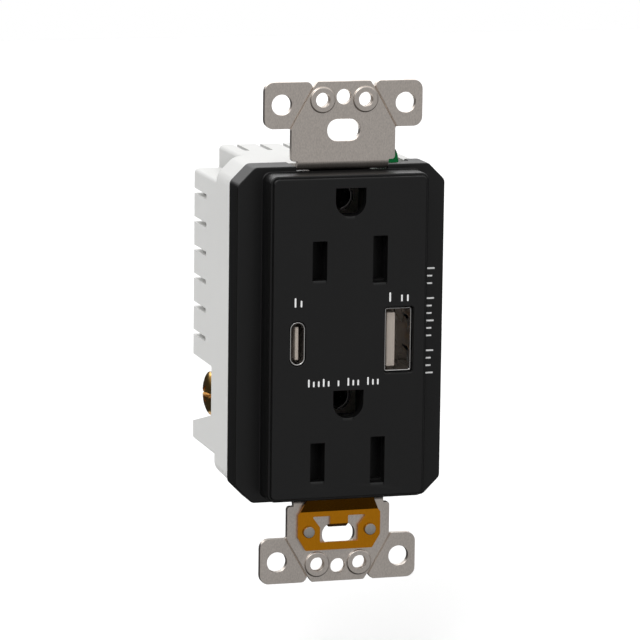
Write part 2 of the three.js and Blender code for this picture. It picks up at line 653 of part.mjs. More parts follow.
// ---------------------------------------------------------------- materials and assembly
const MATERIALS = {
  blackPlastic: { color: 0x1b1b1c, roughness: 0.5, metalness: 0 },
  whitePlastic: { color: 0xd9d9d6, roughness: 0.55, metalness: 0 },
  shutterPlastic: { color: 0x101011, roughness: 0.6, metalness: 0 },
  zincSteel: { color: 0x9a938b, roughness: 0.42, metalness: 0.9 },
  brass: { color: 0xb07a1e, roughness: 0.3, metalness: 0.95 },
  copper: { color: 0xb5793c, roughness: 0.35, metalness: 0.95 },
  nickel: { color: 0xb9b9b6, roughness: 0.25, metalness: 0.95 },
  greenScrew: { color: 0x1c6b34, roughness: 0.4, metalness: 0.6 },
  portPlastic: { color: 0xb7a99c, roughness: 0.5, metalness: 0 },
  board: { color: 0x1f4a33, roughness: 0.6, metalness: 0 },
  ferrite: { color: 0x2c2c2e, roughness: 0.7, metalness: 0 },
  tape: { color: 0xc9a33a, roughness: 0.6, metalness: 0 },
  sleeve: { color: 0x23272e, roughness: 0.4, metalness: 0 },
  fibre: { color: 0x6b6a63, roughness: 0.8, metalness: 0 },
};

const outlet = new THREE.Group();

function add(name, manifold, material) {
  const mesh = new THREE.Mesh(geometryOf(manifold), new THREE.MeshStandardMaterial(MATERIALS[material]));
  mesh.name = name;
  outlet.add(mesh);
}

add('front_cover', frontCover(), 'blackPlastic');
add('rear_body', rearBody(), 'whitePlastic');
add('mounting_strap', mountingStrap(), 'zincSteel');
add('ground_clip', groundClip(), 'brass');
for (const rivet of RIVETS) add(rivet.name, clipRivet(rivet), 'zincSteel');
add('ground_screw', groundScrew(), 'greenScrew');

add('hot_terminal_screw', mirrorX(terminalScrew()), 'brass');
add('hot_clamp_plate', mirrorX(clampPlate()), 'zincSteel');
add('hot_bus_bar', mirrorX(busBar()), 'copper');
add('neutral_terminal_screw', terminalScrew(), 'nickel');
add('neutral_clamp_plate', clampPlate(), 'zincSteel');
add('neutral_bus_bar', busBar(), 'copper');

const CORNERS = [
  ['upper_left', -1, 1],
  ['upper_right', 1, 1],
  ['lower_left', -1, -1],
  ['lower_right', 1, -1],
];
for (const [name, sx, sz] of CORNERS) {
  add(`assembly_screw_${name}`, assemblyScrew(sx * SCREW_CORNER.x, sz * SCREW_CORNER.z), 'zincSteel');
}

OUTLET_Z.forEach((z, index) => {
  const place = ['upper', 'lower'][index];
  add(`shutter_base_${place}`, shutterBase(z), 'shutterPlastic');
  add(`shutter_${place}`, shutter(z), 'shutterPlastic');
  add(`shutter_spring_${place}`, shutterSpring(z), 'nickel');
  add(`hot_contact_${place}`, bladeContact(-BLADE_X, z), 'copper');
  add(`neutral_contact_${place}`, bladeContact(BLADE_X, z), 'copper');
  add(`ground_contact_${place}`, groundContact(z + GROUND_RISE), 'nickel');
});
add('insulator_plate', insulatorPlate(), 'fibre');

add('usb_a_shell', usbAShell(), 'nickel');
add('usb_a_tongue', usbATongue(), 'portPlastic');
USB_A_CONTACTS.forEach((dz, index) => add(`usb_a_contact_${index + 1}`, usbAContact(dz), 'copper'));
add('usb_c_shell', usbCShell(), 'nickel');
add('usb_c_tongue', usbCTongue(), 'portPlastic');

add('port_board', portBoard(), 'board');
add('power_board', powerBoard(), 'board');
add('transformer_core', transformerCore(), 'ferrite');
add('transformer_winding', transformerWinding(), 'tape');
for (const part of CAPACITORS) add(part.name, capacitor(part), 'sleeve');
add('choke_core', chokeCore(), 'ferrite');
add('fuse', fuse(), 'nickel');
add('rectifier', rectifier(), 'sleeve');
add('controller_chip', controllerChip(), 'sleeve');
add('board_link_header', linkHeader(), 'sleeve');
add('hot_board_lead', mirrorX(boardLead()), 'copper');
add('neutral_board_lead', boardLead(), 'copper');

export default outlet;
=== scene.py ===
"""Duplex wall outlet with two charging ports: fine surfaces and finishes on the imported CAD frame.

Shapes are drawn in millimetres, in the CAD model's frame, and handed over in metres.
"""

import json
import math

import bmesh
import bpy
from mathutils import Matrix, Vector


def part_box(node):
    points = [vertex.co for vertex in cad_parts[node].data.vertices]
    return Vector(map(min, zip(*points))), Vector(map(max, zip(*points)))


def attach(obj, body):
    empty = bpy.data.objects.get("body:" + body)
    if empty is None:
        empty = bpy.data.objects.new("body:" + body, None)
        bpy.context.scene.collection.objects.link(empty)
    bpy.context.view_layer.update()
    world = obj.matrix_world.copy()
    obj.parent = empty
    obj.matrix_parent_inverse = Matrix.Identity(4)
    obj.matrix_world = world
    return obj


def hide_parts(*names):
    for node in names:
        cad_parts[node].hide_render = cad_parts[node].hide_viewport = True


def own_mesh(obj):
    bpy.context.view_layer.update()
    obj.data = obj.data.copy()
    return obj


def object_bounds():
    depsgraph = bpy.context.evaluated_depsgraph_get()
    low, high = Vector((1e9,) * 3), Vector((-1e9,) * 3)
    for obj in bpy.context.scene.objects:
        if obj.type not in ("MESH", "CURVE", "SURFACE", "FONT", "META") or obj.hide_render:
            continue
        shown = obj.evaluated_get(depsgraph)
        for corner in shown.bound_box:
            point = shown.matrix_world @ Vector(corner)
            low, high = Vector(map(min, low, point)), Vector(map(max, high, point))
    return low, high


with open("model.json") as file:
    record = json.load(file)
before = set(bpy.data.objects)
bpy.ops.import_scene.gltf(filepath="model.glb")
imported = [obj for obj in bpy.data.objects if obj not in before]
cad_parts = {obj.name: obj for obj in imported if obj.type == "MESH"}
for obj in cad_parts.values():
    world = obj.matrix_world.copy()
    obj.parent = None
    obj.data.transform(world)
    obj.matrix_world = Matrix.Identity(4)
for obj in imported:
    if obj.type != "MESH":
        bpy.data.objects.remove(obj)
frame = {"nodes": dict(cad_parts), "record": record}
cad_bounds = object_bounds()

MM = 0.001
ACROSS = (1, 0, 0)
ENDS = (0, 0, 1)


# ---------------------------------------------------------------- places read from the frame
def node_box(name):
    """A CAD node's lowest and highest corners at rest, in millimetres."""
    low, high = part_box(name)
    return Vector(low) / MM, Vector(high) / MM


def node_centre(name):
    low, high = node_box(name)
    return (low + high) / 2


COVER_LOW, COVER_HIGH = node_box("front_cover")
BODY_LOW, BODY_HIGH = node_box("rear_body")
STRAP_HIGH = node_box("mounting_strap")[1]
CLIP_LOW, CLIP_HIGH = node_box("ground_clip")
PLACES = ("upper", "lower")
SIDES = {"hot": -1, "neutral": 1}
BLADES = {
    f"{side}_{place}": node_centre(f"{side}_contact_{place}") for side in SIDES for place in PLACES
}
GROUNDS = {place: node_centre(f"ground_contact_{place}") for place in PLACES}
USB_A = node_centre("usb_a_shell")
USB_C = node_centre("usb_c_shell")
RIVETS = {name: node_centre(name) for name in ("clip_rivet_left", "clip_rivet_right")}
CORNERS = ("upper_left", "upper_right", "lower_left", "lower_right")
CORNER_PLACES = [node_centre(f"assembly_screw_{name}") for name in CORNERS]

# ---------------------------------------------------------------- driving dimensions, millimetres
FACE_X = 16.6  # raised decorator face, half width and half height
FACE_Z = 33.3
FACE_CORNER = 1.6
FACE_STEP = (0.5, 0.62)  # rebate round the face's edge: how far in, how far back
FACE_FOOT = 0.35  # fillet where the face rises from the skirt
FACE_Y = COVER_LOW.y + 0.02  # the printed marks stand proud of the face by this much
SKIRT_FRONT_Y = -0.8
SKIRT_WALL = 2.0
FACE_WALL = 2.2
FACE_HOLLOW = (14.6, 31.3)  # half width and half height inside the face
SKIRT_HOLLOW = (19.6, 32.0, 7.6)  # half width, half height, corner cut
CORNER_ROUND = 1.5
BEHIND = 7.0  # a place behind the cover's back edge, for cutters
CORNER_CUT = 3.6
SLOT_HALF_X = 1.5
SLOT_HALF_Z = {"hot": 4.0, "neutral": 4.8}
LIP_REACH = 2.1
GROUND_R = 3.15
GROUND_TOP = 2.75
PORT_C_OPENING = (1.7, 4.6, 1.69)  # half width, half height, corner radius
PORT_A_OPENING = (3.0, 6.7, 0.5)
MOUTH_BACK_Y = -2.8  # how far back the openings' cutters reach
NECK_X = 9.6
NOTCH_Z = 33.4
POCKET_X = (7.7, 15.2)  # pocket around the ground screw's head
POCKET_Z = (29.3, 36)
POCKET_WALL_X = (6.9, 16.2)
POCKET_WALL_Z = 28.5
CORNER_HOLE_R = {"front_cover": 1.3, "rear_body": 1.35}

BODY_STEP_Y = 18.6
BLOCK_X = 15.9
BLOCK_Z = (-28.4, 29.4)
FRONT_HOLLOW = (19.5, 32.4, 8.0)  # half width, half height, corner cut
BLOCK_HOLLOW_Y = (17, 34.4)
BLOCK_HOLLOWS = (  # each along X and along Z
    ((-14.3, 14.3), (-8.4, 30.6)),
    ((-17.4, 17.4), (-8.4, 27.8)),
    ((-12.6, 12.6), (-30.6, -8)),
)
VENT_FRONT_Y = 25.9
VENT_H = 1.1
VENT_DEPTH = 2.4
SIDE_VENT_Z = (24.2, 18.2, 12.2, 6.2, 0.2, -5.8)
END_VENT_X = (-12.5, -7.5, -2.5, 2.5, 7.5, 12.5)

STRAP_T = 1.3
EAR_LOW_Z = 42.15
PLATE_X = 10.93
PLATE_LOW_Z = 35.5
SLOT_Z = 41.67
PLATE_HOLE_Z = 48.41
PLATE_HOLE_R = 1.58
BOSS = {"x": 4.5, "z": 47.85, "outer": 2.6, "inner": 1.5, "rise": 0.45}
EAR_HOLE = {"x": 13.0, "z": 47.0, "r": 2.1}
RIVET_HOLE_R = 1.0
SCORE = ((6.45, 50.5), (11.25, 42.0))  # an ear's score line, from end to end
GROUND_TAB_X = (9.1, 10.4)
GROUND_TAB_HOLE_R = 2.1
BEND_Y = 0.5
BRIDGE_Y = (5.4, 6.7)
BRIDGE_HALF_X = 3.4
BRIDGE_HOLE_R = 3.45
WEB_X = 6.5
WEB_Z = (33.55, 34.85)

CLIP_T = 0.55
CLIP_FRONT_Y = -1.9
CLIP_BEND_Z = -36.75
CLIP_TIP_X = 6.78
TERMINAL_Y = 28.6
TERMINAL_Z = -17.3
TERMINAL_HEAD_R = 4.6
SCREW_PITCH = 0.794
DRIVE_SLOT = 0.5  # half width of a drive slot
EDGE_ROUND = 0.12  # on the pieces that are bevelled copies of the CAD's
SMOOTH_ANGLE = 35
METAL_GRAIN = 0.25
MARK_STROKE = 0.17


# ---------------------------------------------------------------- outlines
def rounded(points, radii, steps=5):
    """The outline through points, each corner an arc of its own radius."""
    outline = []
    for k, point in enumerate(points):
        corner = Vector(point)
        before = Vector(points[k - 1]) - corner
        after = Vector(points[(k + 1) % len(points)]) - corner
        radius = radii[k] if isinstance(radii, (list, tuple)) else radii
        turn = math.pi - before.angle(after)
        if radius <= 0 or turn < 0.01:
            outline.append(tuple(corner))
            continue
        reach = min(radius * math.tan(turn / 2), 0.49 * before.length, 0.49 * after.length)
        radius = reach / math.tan(turn / 2)
        inward = (before.normalized() + after.normalized()).normalized()
        middle = corner + inward * radius / math.cos(turn / 2)
        first = corner + before.normalized() * reach - middle
        last = corner + after.normalized() * reach - middle
        start = math.atan2(first.y, first.x)
        sweep = math.atan2(first.x * last.y - first.y * last.x, first.dot(last))
        for step in range(steps + 1):
            angle = start + sweep * step / steps
            outline.append((middle.x + radius * math.cos(angle), middle.y + radius * math.sin(angle)))
    return outline


def rectangle(centre, half_u, half_v, radius, steps=5):
    u, v = centre
    points = [
        (u - half_u, v - half_v),
        (u + half_u, v - half_v),
        (u + half_u, v + half_v),
        (u - half_u, v + half_v),
    ]
    return rounded(points, radius, steps)


def octagon(half_u, half_v, corner, inset=0.0, radius=0.5, steps=4):
    """A rectangle with cut corners, moved inward by inset."""
    u = half_u - inset
    v = half_v - inset
    c = corner - inset * (2 - math.sqrt(2))
    right = [(u - c, -v), (u, c - v), (u, v - c), (u - c, v)]
    left = [(-x, z) for x, z in reversed(right)]
    return rounded(right + left, radius, steps)


def circle(centre, radius, sides=40):
    return [
        (
            centre[0] + radius * math.cos(2 * math.pi * k / sides),
            centre[1] + radius * math.sin(2 * math.pi * k / sides),
        )
        for k in range(sides)
    ]


# ---------------------------------------------------------------- solids
def ring(axis, outline, along):
    """The outline's points in space, square to an axis."""
    places = {
        "x": lambda u, v: (along, u, v),
        "y": lambda u, v: (u, along, v),
        "z": lambda u, v: (u, v, along),
    }
    return [places[axis](u, v) for u, v in outline]


def new_object(name, data):
    """An object in the scene, holding the data."""
    thing = bpy.data.objects.new(name, data)
    bpy.context.scene.collection.objects.link(thing)
    return thing


def solid_object(mesh_data):
    bmesh.ops.recalc_face_normals(mesh_data, faces=mesh_data.faces)
    mesh = bpy.data.meshes.new("solid")
    mesh_data.to_mesh(mesh)
    mesh_data.free()
    return new_object("solid", mesh)


def loft(rings):
    """A solid through rings of equal point counts, capped at its ends."""
    mesh = bmesh.new()
    rows = [[mesh.verts.new(point) for point in points] for points in rings]
    count = len(rows[0])
    for low, high in zip(rows, rows[1:]):
        for k in range(count):
            mesh.faces.new((low[k], low[(k + 1) % count], high[(k + 1) % count], high[k]))
    mesh.faces.new(rows[0][::-1])
    mesh.faces.new(rows[-1])
    return solid_object(mesh)


def prism(axis, outline, low, high):
    return loft([ring(axis, outline, low), ring(axis, outline, high)])


def block(x, y, z):
    return prism("z", [(x[0], y[0]), (x[1], y[0]), (x[1], y[1]), (x[0], y[1])], z[0], z[1])


def turned(axis, centre, profile, sides):
    """A turned solid. The profile is (radius, along the axis); a radius may be a function of the side."""
    mesh = bmesh.new()
    rows = []
    for radius, along in profile:
        pole = not callable(radius) and radius < 1e-6
        points = []
        for k in range(1 if pole else sides):
            angle = 2 * math.pi * k / sides
            r = radius(k / sides) if callable(radius) else radius
            points.append((centre[0] + r * math.cos(angle), centre[1] + r * math.sin(angle)))
        rows.append([mesh.verts.new(p) for p in ring(axis, points, along)])
    hollow = len(rows[0]) > 1
    following = rows[1:] + rows[:1] if hollow else rows[1:]
    for low, high in zip(rows, following):
        for k in range(sides):
            nxt = (k + 1) % sides
            corners = [low[k % len(low)], low[nxt % len(low)], high[nxt % len(high)], high[k % len(high)]]
            mesh.faces.new(list(dict.fromkeys(corners)))
    return solid_object(mesh)


def arc(centre, radius, start, end, steps):
    """Points on an arc, angles in degrees."""
    return [
        (
            centre[0] + radius * math.cos(math.radians(start + (end - start) * k / steps)),
            centre[1] + radius * math.sin(math.radians(start + (end - start) * k / steps)),
        )
        for k in range(steps + 1)
    ]


def thread(start, end, radius, pitch, depth, rows_per_turn=8):
    """Profile rows of a helical thread, for turned()."""
    count = max(2, round((end - start) / pitch * rows_per_turn))
    rows = []
    for k in range(count + 1):
        along = start + (end - start) * k / count
        fade = min(1.0, 2.0 * min(k, count - k) / rows_per_turn)

        def radius_at(turn, along=along, fade=fade):
            phase = (along / pitch - turn) % 1.0
            return radius - depth * fade * abs(2 * phase - 1)

        rows.append((radius_at, along))
    return rows


def mirrored(piece, axis):
    """The piece turned into its mirror image: ACROSS swaps left and right, ENDS swaps top and bottom."""
    piece.data.transform(Matrix.Scale(-1, 4, axis))
    piece.data.flip_normals()
    return piece


# ---------------------------------------------------------------- modifiers, applied at once
def applied(piece):
    bpy.context.view_layer.update()
    evaluated = piece.evaluated_get(bpy.context.evaluated_depsgraph_get())
    mesh = bpy.data.meshes.new_from_object(evaluated)
    piece.modifiers.clear()
    old = piece.data
    piece.data = mesh
    bpy.data.meshes.remove(old)
    return piece


def combine(piece, others, operation):
    for other in others:
        modifier = piece.modifiers.new("boolean", "BOOLEAN")
        modifier.operation = operation
        modifier.solver = "EXACT"
        modifier.object = other
        applied(piece)
        bpy.data.objects.remove(other)
    return piece


def cut(piece, *tools):
    return combine(piece, tools, "DIFFERENCE")


def join(piece, *others):
    return combine(piece, others, "UNION")


def keep(piece, other):
    return combine(piece, [other], "INTERSECT")


def drill(piece, places, radius, sides, ends):
    """Round holes from front to back, between the two ends along Y."""
    for at in places:
        cut(piece, prism("y", circle((at.x, at.z), radius, sides), *ends))


def bevel(piece, width, segments, angle=30):
    """Round every edge sharper than the angle."""
    modifier = piece.modifiers.new("bevel", "BEVEL")
    modifier.width = width
    modifier.segments = segments
    modifier.limit_method = "ANGLE"
    modifier.angle_limit = math.radians(angle)
    return applied(piece)


def smooth(piece):
    """Smooth shading between the sharp edges, with flat faces kept flat."""
    piece.data.shade_smooth()
    piece.data.set_sharp_from_angle(angle=math.radians(SMOOTH_ANGLE))
    modifier = piece.modifiers.new("normals", "WEIGHTED_NORMAL")
    modifier.keep_sharp = True
    return applied(piece)


# ---------------------------------------------------------------- handing pieces over
def body_of(node):
    """The body that a CAD node belongs to."""
    for body, members in frame["record"]["behaviour"]["bodies"].items():
        if node in members:
            return body
    raise ValueError(f"no body holds {node}")


def dress(piece, name, material):
    """Bring a finished shape to metres, and give it its name and material."""
    piece.data.transform(Matrix.Scale(MM, 4))
    piece.name = name
    piece.data.name = name
    piece.data.materials.clear()
    piece.data.materials.append(material)


# ---------------------------------------------------------------- materials
def new_material(name, **settings):
    """A Principled material; each setting is a constant on the shader's own socket."""
    material = bpy.data.materials.new(name)
    material.use_nodes = True
    shader = material.node_tree.nodes["Principled BSDF"]
    for socket, value in settings.items():
        shader.inputs[socket.replace("_", " ")].default_value = value
    return material, material.node_tree, shader


def noise(tree, scale, detail=3.0, stretch=(1, 1, 1), roughness=0.5):
    """A noise texture over the object's own space; scale is in features per metre."""
    place = tree.nodes.new("ShaderNodeTexCoord")
    mapping = tree.nodes.new("ShaderNodeMapping")
    mapping.inputs["Scale"].default_value = stretch
    texture = tree.nodes.new("ShaderNodeTexNoise")
    texture.inputs["Scale"].default_value = scale
    texture.inputs["Detail"].default_value = detail
    texture.inputs["Roughness"].default_value = roughness
    tree.links.new(place.outputs["Object"], mapping.inputs["Vector"])
    tree.links.new(mapping.outputs["Vector"], texture.inputs["Vector"])
    return texture.outputs["Fac"]


def ramp(tree, source, stops):
    """A colour ramp over a texture. Stops are (position, colour)."""
    node = tree.nodes.new("ShaderNodeValToRGB")
    while len(node.color_ramp.elements) < len(stops):
        node.color_ramp.elements.new(0.5)
    for element, (position, colour) in zip(node.color_ramp.elements, stops):
        element.position = position
        element.color = (*colour, 1.0)
    tree.links.new(source, node.inputs["Fac"])
    return node.outputs["Color"]


def vary(tree, source, low, high):
    """Map a texture's useful range onto low to high."""
    node = tree.nodes.new("ShaderNodeMapRange")
    node.inputs["From Min"].default_value = 0.3
    node.inputs["From Max"].default_value = 0.7
    node.inputs["To Min"].default_value = low
    node.inputs["To Max"].default_value = high
    tree.links.new(source, node.inputs["Value"])
    return node.outputs["Result"]


def bump(tree, shader, source, depth_mm):
    node = tree.nodes.new("ShaderNodeBump")
    node.inputs["Strength"].default_value = 1.0
    node.inputs["Distance"].default_value = depth_mm * MM
    tree.links.new(source, node.inputs["Height"])
    tree.links.new(node.outputs["Normal"], shader.inputs["Normal"])


def shaded(colour, factor):
    return tuple(channel * factor for channel in colour)


def plastic(name, colour, rough, grain_mm=0.12, grain_depth=0.004, tone=0.08):
    """Moulded plastic: faint flow marks in the colour, and a spark-eroded grain."""
    material, tree, shader = new_material(name, IOR=1.46)
    flow = noise(tree, 90, 2.0, (1, 1, 0.35))
    stops = [(0.3, shaded(colour, 1 - tone)), (0.7, shaded(colour, 1 + tone))]
    tree.links.new(ramp(tree, flow, stops), shader.inputs["Base Color"])
    grain = noise(tree, 1 / (grain_mm * MM), 2.0)
    tree.links.new(vary(tree, grain, *rough), shader.inputs["Roughness"])
    bump(tree, shader, grain, grain_depth)
    return material


def metal(name, colour, rough, tone=0.12, stretch=(1, 1, 1)):
    """Rolled or plated metal: speckled grain with faint streaks along the stretch."""
    material, tree, shader = new_material(name, Metallic=1.0)
    speckle = noise(tree, 1 / (METAL_GRAIN * MM), 4.0, stretch, 0.65)
    stops = [(0.3, shaded(colour, 1 - tone)), (0.5, colour), (0.72, shaded(colour, 1 + tone))]
    tree.links.new(ramp(tree, speckle, stops), shader.inputs["Base Color"])
    cloud = noise(tree, 160, 3.0, stretch)
    tree.links.new(vary(tree, cloud, *rough), shader.inputs["Roughness"])
    bump(tree, shader, speckle, 0.003)
    return material


def circuit_board(name):
    """Green solder mask over copper tracks."""
    material, tree, shader = new_material(name, IOR=1.5, Coat_Weight=0.3)
    place = tree.nodes.new("ShaderNodeTexCoord")
    tracks = tree.nodes.new("ShaderNodeTexBrick")
    tracks.inputs["Scale"].default_value = 420
    tracks.inputs["Mortar Size"].default_value = 0.05
    tracks.inputs["Color1"].default_value = (0.010, 0.055, 0.026, 1)
    tracks.inputs["Color2"].default_value = (0.014, 0.075, 0.034, 1)
    tracks.inputs["Mortar"].default_value = (0.035, 0.13, 0.055, 1)
    turn = tree.nodes.new("ShaderNodeMapping")
    turn.inputs["Rotation"].default_value = (math.radians(90), 0, 0)
    tree.links.new(place.outputs["Object"], turn.inputs["Vector"])
    tree.links.new(turn.outputs["Vector"], tracks.inputs["Vector"])
    tree.links.new(tracks.outputs["Color"], shader.inputs["Base Color"])
    grain = noise(tree, 2500)
    tree.links.new(vary(tree, grain, 0.28, 0.4), shader.inputs["Roughness"])
    bump(tree, shader, tracks.outputs["Fac"], 0.02)
    return material


def streaked(name, pattern, stops, rough, **settings):
    """One stretched noise drives the colour, the roughness and the relief."""
    material, tree, shader = new_material(name, **settings)
    streaks = noise(tree, *pattern)
    tree.links.new(ramp(tree, streaks, stops), shader.inputs["Base Color"])
    tree.links.new(vary(tree, streaks, *rough), shader.inputs["Roughness"])
    bump(tree, shader, streaks, 0.02)
    return material


def wound_tape(name):
    """Yellow polyester tape in overlapping layers."""
    stops = [(0.35, (0.42, 0.24, 0.02)), (0.65, (0.58, 0.36, 0.05))]
    return streaked(name, (900, 2.0, (0.05, 1, 0.05)), stops, (0.3, 0.42), IOR=1.5, Coat_Weight=0.4)


def pressed_fibre(name):
    """Grey insulating paper with long soft fibres."""
    stops = [(0.3, (0.11, 0.105, 0.09)), (0.7, (0.19, 0.18, 0.16))]
    return streaked(name, (1500, 5.0, (1, 1, 0.15)), stops, (0.75, 0.9), IOR=1.4)


MATERIALS = {
    "cover_plastic": plastic("black_plastic", (0.0038, 0.0038, 0.0040), (0.38, 0.46)),
    "body_plastic": plastic("white_plastic", (0.69, 0.69, 0.677), (0.45, 0.55), tone=0.012),
    "shutter_plastic": plastic("shutter_plastic", (0.006, 0.006, 0.006), (0.5, 0.6)),
    "port_plastic": plastic("port_plastic", (0.40, 0.35, 0.305), (0.45, 0.55), tone=0.04),
    "component_black": plastic("component_black", (0.012, 0.013, 0.017), (0.3, 0.42)),
    "mark_ink": plastic("mark_ink", (0.80, 0.80, 0.80), (0.5, 0.6), tone=0.02),
    "strap_steel": metal("strap_steel", (0.80, 0.73, 0.67), (0.30, 0.42), 0.14, (1, 1, 0.5)),
    "fastener_steel": metal("fastener_steel", (0.55, 0.53, 0.50), (0.28, 0.38)),
    "spring_steel": metal("spring_steel", (0.36, 0.35, 0.34), (0.22, 0.3)),
    "clip_brass": metal("clip_brass", (0.70, 0.27, 0.010), (0.18, 0.24), 0.06, (1, 1, 0.3)),
    "screw_brass": metal("screw_brass", (0.78, 0.47, 0.13), (0.18, 0.28)),
    "screw_nickel": metal("screw_nickel", (0.66, 0.64, 0.60), (0.2, 0.3)),
    "screw_green": metal("screw_green", (0.006, 0.115, 0.032), (0.16, 0.24)),
    "contact_brass": metal("contact_brass", (0.72, 0.45, 0.2), (0.25, 0.35), 0.1, (1, 1, 0.3)),
    "port_nickel": metal("port_nickel", (0.74, 0.73, 0.72), (0.22, 0.30), 0.05),
    "board": circuit_board("circuit_board"),
    "ferrite": plastic("ferrite", (0.028, 0.028, 0.03), (0.6, 0.75), 0.3, 0.02, 0.2),
    "winding_tape": wound_tape("winding_tape"),
    "fibre": pressed_fibre("insulating_fibre"),
}
NODE_SLOTS = {part["node"]: part["material_slot"] for part in frame["record"]["subparts"]}


def hand_over(piece, name, node, flat_faces=True):
    """Turn a finished shape into a piece of the model, standing for a CAD node."""
    if flat_faces:
        smooth(piece)
    slot = NODE_SLOTS[node]
    dress(piece, name, MATERIALS[slot])
    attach(piece, body_of(node))
    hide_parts(node)


# ---------------------------------------------------------------- front cover
def rolled_edge(out, front_y, radius):
    """Points of a rounded edge, from the wall at out to the front at front_y."""
    points = []
    for angle in range(0, 91, 15):
        a = math.radians(angle)
        points.append((out - radius * (1 - math.cos(a)), front_y + radius * (1 - math.sin(a))))
    return points


def raised_face():
    """The decorator face: foot fillet, straight wall, and a rebate round its front edge."""
    foot_y = SKIRT_FRONT_Y + 0.02
    profile = [(FACE_FOOT, foot_y + 0.8)]
    for angle in range(0, 91, 15):
        a = math.radians(angle)
        outset = FACE_FOOT * (1 - math.sin(a))
        profile.append((outset, foot_y - FACE_FOOT * (1 - math.cos(a))))
    inward, back = FACE_STEP
    profile += rolled_edge(0.0, FACE_Y + back, 0.3)
    profile += [(-inward, FACE_Y + back + 0.02), (-inward - 0.04, FACE_Y + back - 0.1)]
    profile += rolled_edge(-inward - 0.06, FACE_Y, 0.25)
    rings = []
    for out, y in profile:
        corner = max(FACE_CORNER + out, 0.5)
        rings.append(ring("y", rectangle((0, 0), FACE_X + out, FACE_Z + out, corner, 8), y))
    return loft(rings)


def skirt():
    profile = [(0.35, 0.0), (0.1, 0.1), (0.0, 0.35)]
    front = [(inset, SKIRT_FRONT_Y + y) for inset, y in profile]
    back = [(inset, COVER_HIGH.y - y) for inset, y in reversed(profile)]
    return loft(
        [
            ring("y", octagon(COVER_HIGH.x, COVER_HIGH.z, CORNER_CUT, inset, CORNER_ROUND), y)
            for inset, y in front + back
        ]
    )


def flared(outline_at, mouth):
    """A cutter through the face with a small rounded mouth. outline_at gives the outline at an offset."""
    steps = [(mouth * 2.2, FACE_Y - 0.3 - mouth), (mouth, FACE_Y), (mouth * 0.3, FACE_Y + mouth * 0.3)]
    steps += [(0.0, FACE_Y + mouth), (0.0, MOUTH_BACK_Y)]
    return loft([ring("y", outline_at(offset), y) for offset, y in steps])


def slot_tool(centre, half_z):
    return flared(
        lambda grow: rectangle((centre.x, centre.z), SLOT_HALF_X + grow, half_z + grow, 0.12 + grow, 3), 0.1
    )


def sloped_lip(centre, half_x, low, rise):
    """The sloped lead-in at the foot of an opening."""
    wedge = [(FACE_Y - 1, low - LIP_REACH), (FACE_Y + 0.45, low + rise), (FACE_Y + 0.45, low + 1)]
    wedge += [(FACE_Y - 1, low + 1)]
    return prism("x", wedge, centre.x - half_x, centre.x + half_x)


def ground_outline(centre, grow):
    """Flat on top and round below."""
    r = GROUND_R + grow
    low = centre.z + 0.1
    top = centre.z + GROUND_TOP + grow
    below = arc((centre.x, low), r, 180, 360, 24)
    return below + [(centre.x + r, top), (centre.x - r, top)]


def neck_notch(side):
    """The dip in the skirt that the strap's neck passes through."""
    x = NECK_X + 0.05
    z = COVER_HIGH.z + 0.02
    points = [(-x, NOTCH_Z), (x, NOTCH_Z), (x, z), (x + 4, z), (x + 4, z + 2)]
    points += [(-x - 4, z + 2), (-x - 4, z), (-x, z)]
    outline = rounded(points, [0.3, 0.3, 0.9, 0, 0, 0, 0, 0.9])
    if side < 0:
        outline = [(u, -v) for u, v in reversed(outline)]
    return prism("y", outline, SKIRT_FRONT_Y - 0.4, BEHIND)


def screw_pocket():
    """The pocket in the skirt's top edge that clears the ground screw's head."""
    left, right = POCKET_X
    plan = [(left, 0.6), (11.4, 0.6), (14.3, 2.8), (right, 2.8), (right, BEHIND), (left, BEHIND)]
    return prism("z", rounded(plan, [0.3, 0.5, 0.4, 0.2, 0, 0], 4), *POCKET_Z)


def bridge_recess(side):
    """The step in the cover's back edge that the strap's bridge lies in."""
    ends = sorted((side * 31.0, side * 36.0))
    return block((-WEB_X - 0.3, WEB_X + 0.3), (BRIDGE_Y[0] - 0.2, BEHIND), ends)


def port_outline(centre, half_x, half_z, radius, grow):
    return rectangle((centre.x, centre.z), half_x + grow, half_z + grow, radius + grow, 8)


def face_openings():
    """Cutters for the blade slots, ground holes and charging ports, with their rounded mouths."""
    tools = []
    for key, centre in BLADES.items():
        half_z = SLOT_HALF_Z[key.split("_")[0]]
        tools.append(slot_tool(centre, half_z))
        tools.append(sloped_lip(centre, SLOT_HALF_X - 0.08, centre.z - half_z, 0.08))
    for centre in GROUNDS.values():
        tools.append(flared(lambda grow, at=centre: ground_outline(at, grow), 0.1))
        tools.append(sloped_lip(centre, 1.1, centre.z + 0.1 - GROUND_R, 0.15))
    tools.append(flared(lambda grow: port_outline(USB_C, *PORT_C_OPENING, grow), 0.15))
    tools.append(flared(lambda grow: port_outline(USB_A, *PORT_A_OPENING, grow), 0.4))
    return tools


def front_cover():
    cover = join(skirt(), raised_face())
    hollow_y = SKIRT_FRONT_Y + SKIRT_WALL
    cut(
        cover,
        prism("y", rectangle((0, 0), *FACE_HOLLOW, 0.4), FACE_Y + FACE_WALL, BEHIND),
        prism("y", octagon(*SKIRT_HOLLOW), hollow_y, BEHIND),
    )
    pocket_y = (hollow_y - 0.1, COVER_HIGH.y - 0.1)
    join(cover, block(POCKET_WALL_X, pocket_y, (POCKET_WALL_Z, 32.4)))
    cut(cover, screw_pocket(), neck_notch(1), neck_notch(-1), bridge_recess(1), bridge_recess(-1))
    drill(cover, CORNER_PLACES, CORNER_HOLE_R["front_cover"], 20, (0.2, BEHIND))
    cut(cover, *face_openings())
    hand_over(cover, "cover_shell", "front_cover")


